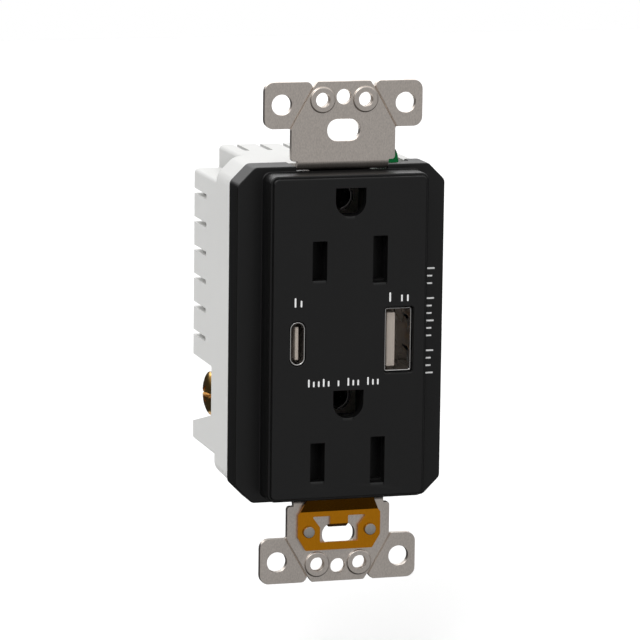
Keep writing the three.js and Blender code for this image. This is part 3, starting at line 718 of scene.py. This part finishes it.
# ---------------------------------------------------------------- rear body
def body_front_section():
    profile = [(0.2, BODY_LOW.y), (0.05, BODY_LOW.y + 0.05), (0.0, BODY_LOW.y + 0.2)]
    profile += [(0.0, BODY_STEP_Y - 0.6), (0.18, BODY_STEP_Y - 0.18), (0.6, BODY_STEP_Y)]
    return loft(
        [
            ring("y", octagon(BODY_HIGH.x, BODY_HIGH.z, CORNER_CUT, inset, 3.0, 8), y)
            for inset, y in profile
        ]
    )


def body_rear_block():
    low_z, high_z = BLOCK_Z
    x = BODY_HIGH.x
    top = BODY_HIGH.z
    right = [(BLOCK_X, -top), (BLOCK_X, low_z), (x, low_z), (x, high_z), (BLOCK_X, high_z), (BLOCK_X, top)]
    radii = [0.9, 0.35, 0.9, 0.9, 0.35, 0.9]
    outline = rounded(right + [(-u, v) for u, v in reversed(right)], radii + radii[::-1], 6)
    return bevel(prism("y", outline, BODY_STEP_Y - 1, BODY_HIGH.y), 0.6, 3, 40)


def terminal_recess():
    """The open recess around a terminal screw, on the right side."""
    outline = rounded([(20.9, -20.4), (38, -25.04), (38, -10), (20.9, -10)], [0.5, 0, 0, 0.5])
    recess = prism("x", outline, 14.0, 23)
    window = block((13.95, 15.05), (17, 21.4), (-20.38, -12.4))
    passage = prism("x", circle((TERMINAL_Y, TERMINAL_Z), 2.6), 12.4, 14.2)
    return join(recess, window, passage)


def side_vent(low, side):
    """A slot in the rear block's side, open to the back."""
    high = low + VENT_H
    corners = [(VENT_FRONT_Y, low), (38, low), (38, high), (VENT_FRONT_Y, high)]
    ends = sorted((side * (BODY_HIGH.x - VENT_DEPTH), side * 23))
    return prism("x", rounded(corners, [0.35, 0, 0, 0.35], 3), *ends)


def end_vent(x, side):
    """A slot in the rear block's top or bottom, open to the back."""
    low = x - VENT_H / 2
    high = x + VENT_H / 2
    corners = [(low, VENT_FRONT_Y), (high, VENT_FRONT_Y), (high, 38), (low, 38)]
    ends = sorted((side * (BODY_HIGH.z - VENT_DEPTH), side * 36))
    return prism("z", rounded(corners, [0.35, 0.35, 0, 0], 3), *ends)


def rear_body():
    body = join(body_front_section(), body_rear_block())
    cut(body, prism("y", octagon(*FRONT_HOLLOW), 5, 17.2))
    for x, z in BLOCK_HOLLOWS:
        cut(body, block(x, BLOCK_HOLLOW_Y, z))
    join(body, block(POCKET_WALL_X, (BODY_LOW.y, 11.1), (POCKET_WALL_Z, 33.4)))
    cut(body, block(POCKET_X, (5, 10.1), POCKET_Z))
    for ends in ((32.2, 36), (-36, -32.2)):
        cut(body, block((-WEB_X - 0.3, WEB_X + 0.3), (5, 7.1), ends))
    cut(body, terminal_recess(), mirrored(terminal_recess(), ACROSS))
    cut(body, *(side_vent(low, side) for low in SIDE_VENT_Z for side in (-1, 1)))
    cut(body, *(end_vent(x, side) for x in END_VENT_X for side in (-1, 1)))
    drill(body, CORNER_PLACES, CORNER_HOLE_R["rear_body"], 20, (5, 19))
    hand_over(body, "body_shell", "rear_body")


# ---------------------------------------------------------------- mounting strap
def strap_end_outline():
    top = STRAP_HIGH.z
    ear = STRAP_HIGH.x
    right = [
        (5.55, top), (6.45, 50.3), (7.15, top), (ear, top), (ear, EAR_LOW_Z), (PLATE_X, EAR_LOW_Z),
        (PLATE_X, PLATE_LOW_Z), (NECK_X, PLATE_LOW_Z), (NECK_X, PLATE_LOW_Z - 0.25),
    ]
    radii = [0.3, 0.08, 1.2, 1.9, 1.9, 0.4, 1.4, 0.3, 0]
    left = [(-x, z) for x, z in reversed(right)]
    return rounded(right + left, radii + radii[::-1], 7)


def tapped_bore(x, z, radius, start):
    """A drill through the strap that leaves the thread of a tapped hole. It starts in front at start."""
    flare = 0.06
    profile = [(0, start - 0.4), (radius + flare + 0.3, start - 0.4), (radius + flare, start - 0.01)]
    profile += thread(start + 0.05, -0.05, radius + 0.22, 0.79, 0.22, 12)
    profile += [(radius + flare, 0.01), (radius + 0.3, 0.4), (0, 0.4)]
    return turned("y", (x, z), profile, 48)


def plain_bore(x, z, radius):
    profile = [(0, -3), (radius + 0.3, -3), (radius + 0.3, -STRAP_T - 0.2)]
    profile += [(radius + 0.06, -STRAP_T - 0.001), (radius, -STRAP_T + 0.06), (radius, -0.06)]
    profile += [(radius + 0.06, 0.01), (radius + 0.2, 0.3), (0, 0.3)]
    return turned("y", (x, z), profile, 44)


def boss_collar(side):
    """A drawn collar: a low flat ring with a rolled edge."""
    outer, inner = BOSS["outer"], BOSS["inner"]
    rim = -STRAP_T - BOSS["rise"]
    foot = arc((outer + 0.12, -STRAP_T - 0.12), 0.12, 90, 180, 4)
    roll = arc((outer - 0.25, rim + 0.25), 0.25, 0, -90, 6)
    profile = [(outer + 0.12, -STRAP_T + 0.4)] + foot + roll + [(inner, rim), (inner, -STRAP_T + 0.4)]
    return turned("y", (side * BOSS["x"], BOSS["z"]), profile, 56)


def score_line(side):
    """The V-shaped groove along which an ear snaps off."""
    start, end = (Vector(point) for point in SCORE)
    along = (end - start).normalized()
    across = Vector((along.y, -along.x))
    rings = []
    for point in (start - along * 0.4, end + along * 0.4):
        row = []
        for offset, y in ((-0.3, -STRAP_T - 0.15), (0.3, -STRAP_T - 0.15), (0.0, -STRAP_T + 0.3)):
            place = point + across * offset
            row.append((side * place.x, y, place.y))
        rings.append(row)
    return loft(rings)


def box_screw_slot():
    steps = [(0.3, -STRAP_T - 0.4), (0.06, -STRAP_T), (0.0, -STRAP_T + 0.06)]
    steps += [(0.0, -0.06), (0.06, 0.01), (0.3, 0.3)]
    rings = []
    for grow, y in steps:
        outline = rectangle((0, SLOT_Z), 3.45 + grow, 2.25 + grow, 2.15 + grow, 8)
        rings.append(ring("y", outline, y))
    return loft(rings)


def strap_end():
    plate = bevel(prism("y", strap_end_outline(), -STRAP_T, 0), 0.1, 2, 40)
    centre = (BEND_Y, PLATE_LOW_Z - 0.15)
    outer = arc(centre, BEND_Y + STRAP_T, 180, 270, 10)
    inner = arc(centre, BEND_Y, 270, 180, 8)
    bend = prism("x", outer + inner, -NECK_X, NECK_X)
    web = block((-WEB_X, WEB_X), (BEND_Y - 0.1, BRIDGE_Y[1]), WEB_Z)
    end = join(plate, bend, web, boss_collar(-1), boss_collar(1))
    cut(end, score_line(-1), score_line(1), box_screw_slot())
    cut(end, tapped_bore(0, PLATE_HOLE_Z, PLATE_HOLE_R - 0.1, -STRAP_T))
    for side in (-1, 1):
        cut(end, plain_bore(side * EAR_HOLE["x"], EAR_HOLE["z"], EAR_HOLE["r"]))
        cut(end, tapped_bore(side * BOSS["x"], BOSS["z"], BOSS["inner"] - 0.1, -STRAP_T - BOSS["rise"]))
    return end


def strap_bridge():
    """The bridge that runs behind the contacts, with its two ground plates."""
    bridge = block((-BRIDGE_HALF_X, BRIDGE_HALF_X), BRIDGE_Y, (-WEB_Z[0] - 0.5, WEB_Z[0] + 0.5))
    for z in (-33.0, 33.0):
        join(bridge, block((-WEB_X, WEB_X), BRIDGE_Y, (z - 1.85, z + 1.85)))
    for centre in GROUNDS.values():
        join(bridge, prism("y", rectangle((0, centre.z), 5.4, 4.8, 0.8), *BRIDGE_Y))
        cut(bridge, prism("y", circle((0, centre.z), BRIDGE_HOLE_R), 5, 7))
    return bridge


def ground_screw_tab():
    screw = node_centre("ground_screw")
    side = [(-0.9, 35.9), (2.2, 35.3), (2.2, 30.4), (7.8, 30.4), (8.7, 31.3)]
    side += [(8.7, 36.3), (7.8, 37.3), (2.2, 38.6), (-0.9, 38.6)]
    tab = bevel(prism("x", rounded(side, 0.3, 3), *GROUND_TAB_X), 0.12, 2, 40)
    return cut(tab, prism("x", circle((screw.y, screw.z), GROUND_TAB_HOLE_R), 8, 12))


def mounting_strap():
    strap = join(strap_end(), mirrored(strap_end(), ENDS), strap_bridge(), ground_screw_tab())
    drill(strap, RIVETS.values(), RIVET_HOLE_R, 24, (-2, 1))
    hand_over(strap, "strap_plate", "mounting_strap")


# ---------------------------------------------------------------- self-grounding clip
def clip_sheet():
    """The clip's plate and forward ramp, bent from one strip."""
    front = CLIP_FRONT_Y
    back = front + CLIP_T
    tip = (CLIP_LOW.y, CLIP_HIGH.z)
    side = [(front, -46), (back, -46), (back, CLIP_BEND_Z + 0.15), (tip[0] + 0.6, tip[1]), tip]
    side.append((front, CLIP_BEND_Z + 0.05))
    sheet = prism("x", rounded(side, [0, 0, 0.6, 0.1, 0.1, 0.12], 5), -10, 10)
    half = [(CLIP_TIP_X, CLIP_HIGH.z), (8.35, CLIP_BEND_Z), (8.8, CLIP_BEND_Z - 0.6)]
    half += [(8.8, -42.0), (7.1, CLIP_LOW.z)]
    radii = [0.1, 0.4, 0.4, 0.3, 0.3]
    outline = rounded(half + [(-x, z) for x, z in reversed(half)], radii + radii[::-1], 4)
    return keep(sheet, prism("y", outline, -6, 0))


def clip_window():
    half = [(1.9, -37.75), (5.75, -37.75), (4.05, -40.05), (4.05, -43.2), (0, -43.2)]
    right = rounded(half + [(0, -39.1), (1.9, -39.1)], [0.2, 0.2, 0.2, 0.2, 0, 0, 0], 4)
    return prism("y", right, -6, 1)


def clip_tail():
    """The tongue that bends back through the box screw's slot."""
    front = CLIP_FRONT_Y
    back = front + CLIP_T
    side = [(front, -37.6), (front, -39.5), (-0.6, -40.3), (CLIP_HIGH.y, -40.3)]
    side += [(CLIP_HIGH.y, -39.75), (-0.5, -39.75), (back, -39.65), (back, -37.6)]
    return prism("x", rounded(side, [0, 0.25, 0.3, 0.1, 0.1, 0.1, 0.1, 0], 5), -1.9, 1.9)


def ground_clip():
    clip = cut(clip_sheet(), clip_window(), mirrored(clip_window(), ACROSS))
    drill(clip, RIVETS.values(), RIVET_HOLE_R, 24, (-4, 0))
    bevel(clip, 0.07, 2, 40)
    join(clip, bevel(clip_tail(), 0.06, 2, 40))
    hand_over(clip, "clip_sheet", "ground_clip")


def clip_rivet(name):
    low, high = node_box(name)
    at = RIVETS[name]
    head = low.y + 0.65
    rim = [(1.15, head), (1.2, head - 0.05), (1.2, low.y + 0.2), (1.15, low.y + 0.06), (1.02, low.y)]
    shank = [(0, high.y), (0.82, high.y), (0.9, high.y - 0.1), (0.9, head)]
    hand_over(turned("y", (at.x, at.z), shank + rim + [(0, low.y)], 40), f"{name}_head", name)


# ---------------------------------------------------------------- screws
def drive_tool(axis_low, axis_high, centre, long_half, short_half):
    """A slot crossed by a shorter one, square to the X axis."""
    def bar(half_y, half_z):
        y = (centre.y - half_y, centre.y + half_y)
        z = (centre.z - half_z, centre.z + half_z)
        return block((axis_low, axis_high), y, z)

    return join(bar(long_half, DRIVE_SLOT), bar(DRIVE_SLOT, short_half))


def terminal_screw(side, node):
    low, high = node_box(node)
    inner = min(abs(low.x), abs(high.x))
    outer = max(abs(low.x), abs(high.x))
    head = TERMINAL_HEAD_R
    base = outer - 2.6
    profile = [(0, inner), (1.35, inner), (1.7, inner + 0.4)]
    profile += thread(inner + 0.5, base - 0.3, 2.0, SCREW_PITCH, 0.32)
    profile += [(1.85, base - 0.05), (2.1, base), (head - 0.25, base), (head - 0.05, base + 0.1)]
    profile += [(head, base + 0.3), (head, base + 1.0), (head - 0.08, base + 1.2)]
    profile += [(head - 0.55 - 0.8 * k, base + 1.55 + 0.42 * k - 0.07 * k * k) for k in range(4)]
    profile += [(0.8, outer - 0.02), (0, outer)]
    screw = turned("x", (TERMINAL_Y, TERMINAL_Z), profile, 48)
    centre = Vector((0, TERMINAL_Y, TERMINAL_Z))
    cut(screw, drive_tool(outer - 1.2, outer + 1, centre, head + 0.5, (2 * head + 1) / 6))
    if side < 0:
        mirrored(screw, ACROSS)
    hand_over(screw, f"{node}_fine", node)


def clamp_plate(side, node):
    """The captive square washer that holds the wire, its inner face grooved for grip."""
    low, high = node_box(node)
    inner = min(abs(low.x), abs(high.x))
    outer = max(abs(low.x), abs(high.x))
    half = (high.y - low.y) / 2
    plate = prism("x", octagon(half, half, 0.8, 0, 0.2, 3), inner, outer)
    plate.data.transform(Matrix.Translation((0, TERMINAL_Y, TERMINAL_Z)))
    bevel(plate, 0.15, 2, 40)
    cut(plate, prism("x", circle((TERMINAL_Y, TERMINAL_Z), 2.3), inner - 1, outer + 1))
    for dy in (-3.2, -2.6, 2.6, 3.2):
        y = TERMINAL_Y + dy
        groove = [(y - 0.25, inner - 0.1), (y + 0.25, inner - 0.1), (y, inner + 0.25)]
        cut(plate, prism("z", [(x, v) for v, x in groove], TERMINAL_Z - 5, TERMINAL_Z + 5))
    if side < 0:
        mirrored(plate, ACROSS)
    hand_over(plate, f"{node}_fine", node)


def ground_screw():
    low, high = node_box("ground_screw")
    at = node_centre("ground_screw")
    vertex = (high.y - low.y) / 2
    base = high.x - 2.4
    profile = [(0, low.x), (1.3, low.x), (1.6, low.x + 0.35)]
    profile += thread(low.x + 0.4, base - 0.1, 1.9, SCREW_PITCH, 0.3)
    profile += [(1.9, base), (1.9, base + 0.2), (0, base + 0.2)]
    shank = turned("x", (at.y, at.z), profile, 40)
    corners = arc((at.y, at.z), vertex, 0, 300, 5)
    head = prism("x", rounded(corners, 0.15, 2), base, high.x)
    inner = vertex * math.cos(math.radians(30))
    rim = [(vertex + 0.1, base), (vertex + 0.1, high.x - 0.45), (inner, high.x)]
    dome = turned("x", (at.y, at.z), [(0, base)] + rim + [(0, high.x)], 48)
    keep(head, dome)
    join(head, shank)
    cut(head, drive_tool(high.x - 0.7, high.x + 1, at, 2.2, 0.73))
    hand_over(head, "ground_screw_fine", "ground_screw")


def assembly_screw(name):
    node = f"assembly_screw_{name}"
    low, high = node_box(node)
    at = node_centre(node)
    head_y = high.y - 1.55
    profile = [(0, low.y), (0.15, low.y + 0.1)]
    profile += thread(low.y + 0.8, 12.0, 1.15, 0.7, 0.3, 6)
    profile += [(1.0, 12.4), (1.0, head_y - 0.2), (1.15, head_y), (1.5, head_y), (1.55, head_y + 0.08)]
    profile += [(1.55, head_y + 0.6), (1.45, head_y + 0.95), (1.2, head_y + 1.25)]
    profile += [(0.8, head_y + 1.45), (0, high.y)]
    screw = turned("y", (at.x, at.z), profile, 32)
    for half_x, half_z in ((1.1, 0.22), (0.22, 1.1)):
        x = (at.x - half_x, at.x + half_x)
        cut(screw, block(x, (high.y - 0.75, high.y + 1), (at.z - half_z, at.z + half_z)))
    hand_over(screw, f"{node}_fine", node)


# ---------------------------------------------------------------- charging ports
def tube_shell(node, wall, radius):
    """A drawn shell as large as the CAD node: rounded rim in front, closed at the back."""
    low, high = node_box(node)
    half_x = (high.x - low.x) / 2
    half_z = (high.z - low.z) / 2
    rim = []
    for angle in range(0, 181, 30):
        a = math.radians(angle)
        rim.append((wall * (1 - math.cos(a)) / 2, low.y + wall * (1 - math.sin(a)) / 2))
    profile = [(0.12, high.y), (0.0, high.y - 0.12)] + rim + [(wall, high.y - 0.3)]
    centre = node_centre(node)
    return loft([ring("y", port_outline(centre, half_x, half_z, radius, -inset), y) for inset, y in profile])


def usb_a_shell():
    shell = tube_shell("usb_a_shell", 0.3, 0.5)
    for dz in (-3.2, 3.2):
        z = USB_A.z + dz
        hook = [(-5.2, z - 1.5), (-4.4, z - 1.5), (-4.4, z + 0.5), (-1.2, z + 0.9)]
        hook += [(-0.6, z + 1.3), (-4.4, z + 1.3), (-5.2, z + 0.9)]
        cut(shell, prism("x", rounded(hook, 0.12, 3), USB_A.x + 2, USB_A.x + 3.5))
    hand_over(shell, "usb_a_can", "usb_a_shell")


def usb_c_shell():
    low, high = node_box("usb_c_shell")
    round_ends = (high.x - low.x) / 2 - 0.01
    hand_over(tube_shell("usb_c_shell", 0.3, round_ends), "usb_c_can", "usb_c_shell")


def usb_a_tongue():
    low, high = node_box("usb_a_tongue")
    tongue = block((8.3, 10.1), (low.y, 5), (USB_A.z - 5.55, USB_A.z + 5.55))
    base = block((8.15, 13.05), (4.5, high.y), (USB_A.z - 6.15, USB_A.z + 6.15))
    bevel(tongue, 0.18, 3)
    bevel(base, 0.15, 2)
    hand_over(join(tongue, base), "usb_a_insert", "usb_a_tongue")


def usb_c_tongue():
    low, high = node_box("usb_c_tongue")
    blade = block((USB_C.x - 0.35, USB_C.x + 0.35), (low.y, 2), (USB_C.z - 3.35, USB_C.z + 3.35))
    tongue = bevel(blade, 0.12, 3)
    base = prism("y", rectangle((USB_C.x, USB_C.z), 1.15, 4.0, 1.1, 8), 1.0, high.y)
    hand_over(join(tongue, base), "usb_c_insert", "usb_c_tongue")


# ---------------------------------------------------------------- shutter springs
def shutter_spring(place):
    """A coil of round wire with closed ends."""
    node = f"shutter_spring_{place}"
    low, high = node_box(node)
    wire = 0.17
    coil = (high.z - low.z) / 2 - wire
    centre = node_centre(node)
    turns = 7
    steps = turns * 28
    rings = []
    for k in range(steps + 1):
        t = k / steps
        angle = 2 * math.pi * turns * t
        x = low.x + wire + (high.x - low.x - 2 * wire) * t
        out = Vector((0, math.cos(angle), math.sin(angle)))
        spot = Vector((x, centre.y, centre.z)) + out * coil
        row = []
        for side in range(10):
            a = 2 * math.pi * side / 10
            row.append(spot + out * wire * math.cos(a) + Vector((wire * math.sin(a), 0, 0)))
        rings.append(row)
    spring = loft(rings)
    spring.data.shade_smooth()
    hand_over(spring, f"{node}_coil", node, flat_faces=False)
    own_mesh(spring)


# ---------------------------------------------------------------- printed marks
def printed_bar(x, z, half_x, half_z, front_y):
    corner = 0.8 * min(half_x, half_z)
    outline = rectangle((x, z), half_x, half_z, corner, 3)
    return prism("y", outline, front_y - 0.02, front_y + 0.05)


def bar_row(centre, groups, pitch, half_height, front_y=FACE_Y, turned_down=False):
    """Groups of plain upright bars, one blank between groups, standing for a line of small print."""
    places = []
    place = 0
    for count in groups:
        places += [place + k for k in range(count)]
        place += count + 1
    middle = (places[0] + places[-1]) / 2
    bars = []
    for index, spot in enumerate(places):
        along = (spot - middle) * pitch
        height = half_height * (1.0 if index % 3 == 0 else 0.72)
        drop = half_height - height
        if turned_down:
            bars.append(printed_bar(centre[0] - drop, centre[1] - along, height, MARK_STROKE, front_y))
        else:
            bars.append(printed_bar(centre[0] + along, centre[1] - drop, MARK_STROKE, height, front_y))
    return bars


def marks():
    """Plain bars printed where the ratings would stand."""
    bars = bar_row((USB_C.x + 0.05, USB_C.z + 8.45), (2,), 1.25, 0.95)
    bars += bar_row((USB_A.x - 0.2, USB_A.z + 8.9), (1, 2), 1.25, 0.95)
    bars += bar_row((-1.1, USB_C.z - 8.15), (5, 1, 3, 3), 1.04, 0.8)
    bars += bar_row((19.1, 1.9), (3, 6, 4), 1.55, 0.85, SKIRT_FRONT_Y, True)
    ink = join(*bars)
    smooth(ink)
    dress(ink, "printed_marks", MATERIALS["mark_ink"])
    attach(ink, "root")


# ---------------------------------------------------------------- other pieces: bevelled CAD shapes
def refined(node):
    """The CAD shape with its flat faces merged and its edges rounded."""
    source = frame["nodes"][node]
    mesh = source.data.copy()
    mesh.transform(source.matrix_world)
    mesh.transform(Matrix.Scale(1 / MM, 4))
    piece = new_object("solid", mesh)
    data = bmesh.new()
    data.from_mesh(mesh)
    bmesh.ops.remove_doubles(data, verts=data.verts, dist=0.002)
    bmesh.ops.dissolve_limit(data, angle_limit=math.radians(2), verts=data.verts, edges=data.edges)
    data.to_mesh(mesh)
    data.free()
    bevel(piece, EDGE_ROUND, 2, 32)
    hand_over(piece, f"{node}_fine", node)


# ---------------------------------------------------------------- camera, light and floor
CAMERA = {  # angles in degrees, distances in metres, lens in millimetres
    "azimuth": -16.674,
    "elevation": 10.190,
    "roll": 0.7336,
    "distance": 0.790856,
    "side": -0.003882,
    "rise": 0.002551,
    "lens": 218.686,
}


def add_camera():
    azimuth = math.radians(CAMERA["azimuth"])
    elevation = math.radians(CAMERA["elevation"])
    roll = math.radians(CAMERA["roll"])
    back = Vector((
        math.sin(azimuth) * math.cos(elevation),
        -math.cos(azimuth) * math.cos(elevation),
        math.sin(elevation),
    ))
    across = Vector((0, 0, 1)).cross(back).normalized()
    upward = back.cross(across)
    right = across * math.cos(roll) + upward * math.sin(roll)
    up = upward * math.cos(roll) - across * math.sin(roll)
    place = right * CAMERA["side"] + up * CAMERA["rise"] + back * CAMERA["distance"]
    data = bpy.data.cameras.new("camera")
    data.lens = CAMERA["lens"]
    data.sensor_width = 36
    data.clip_start = 0.01
    data.clip_end = 50
    camera = new_object("camera", data)
    rotation = Matrix((right, up, back)).transposed().to_4x4()
    camera.matrix_world = Matrix.Translation(place) @ rotation
    bpy.context.scene.camera = camera


def add_area_light(name, place, size, power):
    data = bpy.data.lights.new(name, "AREA")
    data.shape = "RECTANGLE"
    data.size, data.size_y = size
    data.energy = power
    lamp = new_object(name, data)
    place = Vector(place)
    lamp.matrix_world = Matrix.Translation(place) @ place.to_track_quat("Z", "Y").to_matrix().to_4x4()


def add_world():
    """White behind everything for the camera; for the light, bright overhead and dimmer in front."""
    world = bpy.data.worlds.new("studio")
    bpy.context.scene.world = world
    world.use_nodes = True
    tree = world.node_tree
    tree.nodes.clear()
    place = tree.nodes.new("ShaderNodeTexCoord")
    split = tree.nodes.new("ShaderNodeSeparateXYZ")
    tree.links.new(place.outputs["Generated"], split.inputs["Vector"])

    def band(source, low, high, bottom, top):
        node = tree.nodes.new("ShaderNodeMapRange")
        node.interpolation_type = "SMOOTHSTEP"
        values = {"From Min": low, "From Max": high, "To Min": bottom, "To Max": top}
        for key, value in values.items():
            node.inputs[key].default_value = value
        tree.links.new(source, node.inputs["Value"])
        return node.outputs["Result"]

    def combined(operation, first, second):
        node = tree.nodes.new("ShaderNodeMath")
        node.operation = operation
        tree.links.new(first, node.inputs[0])
        tree.links.new(second, node.inputs[1])
        return node.outputs["Value"]

    above = band(split.outputs["Z"], 0.05, 0.5, 0.04, 1.0)
    front = band(split.outputs["Y"], -0.5, -0.8, 0.04, 0.50)
    level = band(split.outputs["Z"], -0.58, -0.32, 0.05, 1.0)
    most = combined("MAXIMUM", above, combined("MULTIPLY", front, level))
    light = tree.nodes.new("ShaderNodeBackground")
    tree.links.new(most, light.inputs["Strength"])
    seen = tree.nodes.new("ShaderNodeBackground")
    seen.inputs["Color"].default_value = (1, 1, 1, 1)
    mix = tree.nodes.new("ShaderNodeMixShader")
    path = tree.nodes.new("ShaderNodeLightPath")
    output = tree.nodes.new("ShaderNodeOutputWorld")
    tree.links.new(path.outputs["Is Camera Ray"], mix.inputs["Fac"])
    tree.links.new(light.outputs["Background"], mix.inputs[1])
    tree.links.new(seen.outputs["Background"], mix.inputs[2])
    tree.links.new(mix.outputs["Shader"], output.inputs["Surface"])


def add_floor():
    """A plain pale floor under the outlet."""
    low = cad_bounds[0][2] - 0.02
    half = 1.2
    mesh = bmesh.new()
    plan = ((-half, -half), (half, -half), (half, half), (-half, half))
    mesh.faces.new([mesh.verts.new((x, y, low)) for x, y in plan])
    data = bpy.data.meshes.new("floor")
    mesh.to_mesh(data)
    mesh.free()
    floor = new_object("floor", data)
    material, tree, shader = new_material("floor_paper", Roughness=0.9)
    tone = ramp(tree, noise(tree, 3, 2.0), [(0.3, (0.96, 0.96, 0.96)), (0.7, (0.98, 0.98, 0.98))])
    tree.links.new(tone, shader.inputs["Base Color"])
    data.materials.append(material)
    floor.visible_glossy = False


# ---------------------------------------------------------------- the scene
def build_outlet():
    front_cover()
    rear_body()
    mounting_strap()
    ground_clip()
    for name in RIVETS:
        clip_rivet(name)
    ground_screw()
    for name, side in SIDES.items():
        terminal_screw(side, f"{name}_terminal_screw")
        clamp_plate(side, f"{name}_clamp_plate")
    for name in CORNERS:
        assembly_screw(name)
    usb_a_shell()
    usb_a_tongue()
    usb_c_shell()
    usb_c_tongue()
    for place in PLACES:
        shutter_spring(place)
    marks()


def finish_other_nodes():
    """The remaining CAD nodes: bevelled copies of themselves."""
    for node, source in frame["nodes"].items():
        if not source.hide_render:
            refined(node)


def main():
    add_camera()
    add_world()
    add_area_light("key", (-0.5, -0.6, 0.9), (0.6, 0.6), 4)
    add_area_light("sweep", (0.0, 1.7, 1.6), (3.2, 2.6), 34)
    add_floor()
    bpy.context.scene.view_settings.view_transform = "Standard"
    build_outlet()
    finish_other_nodes()


main()
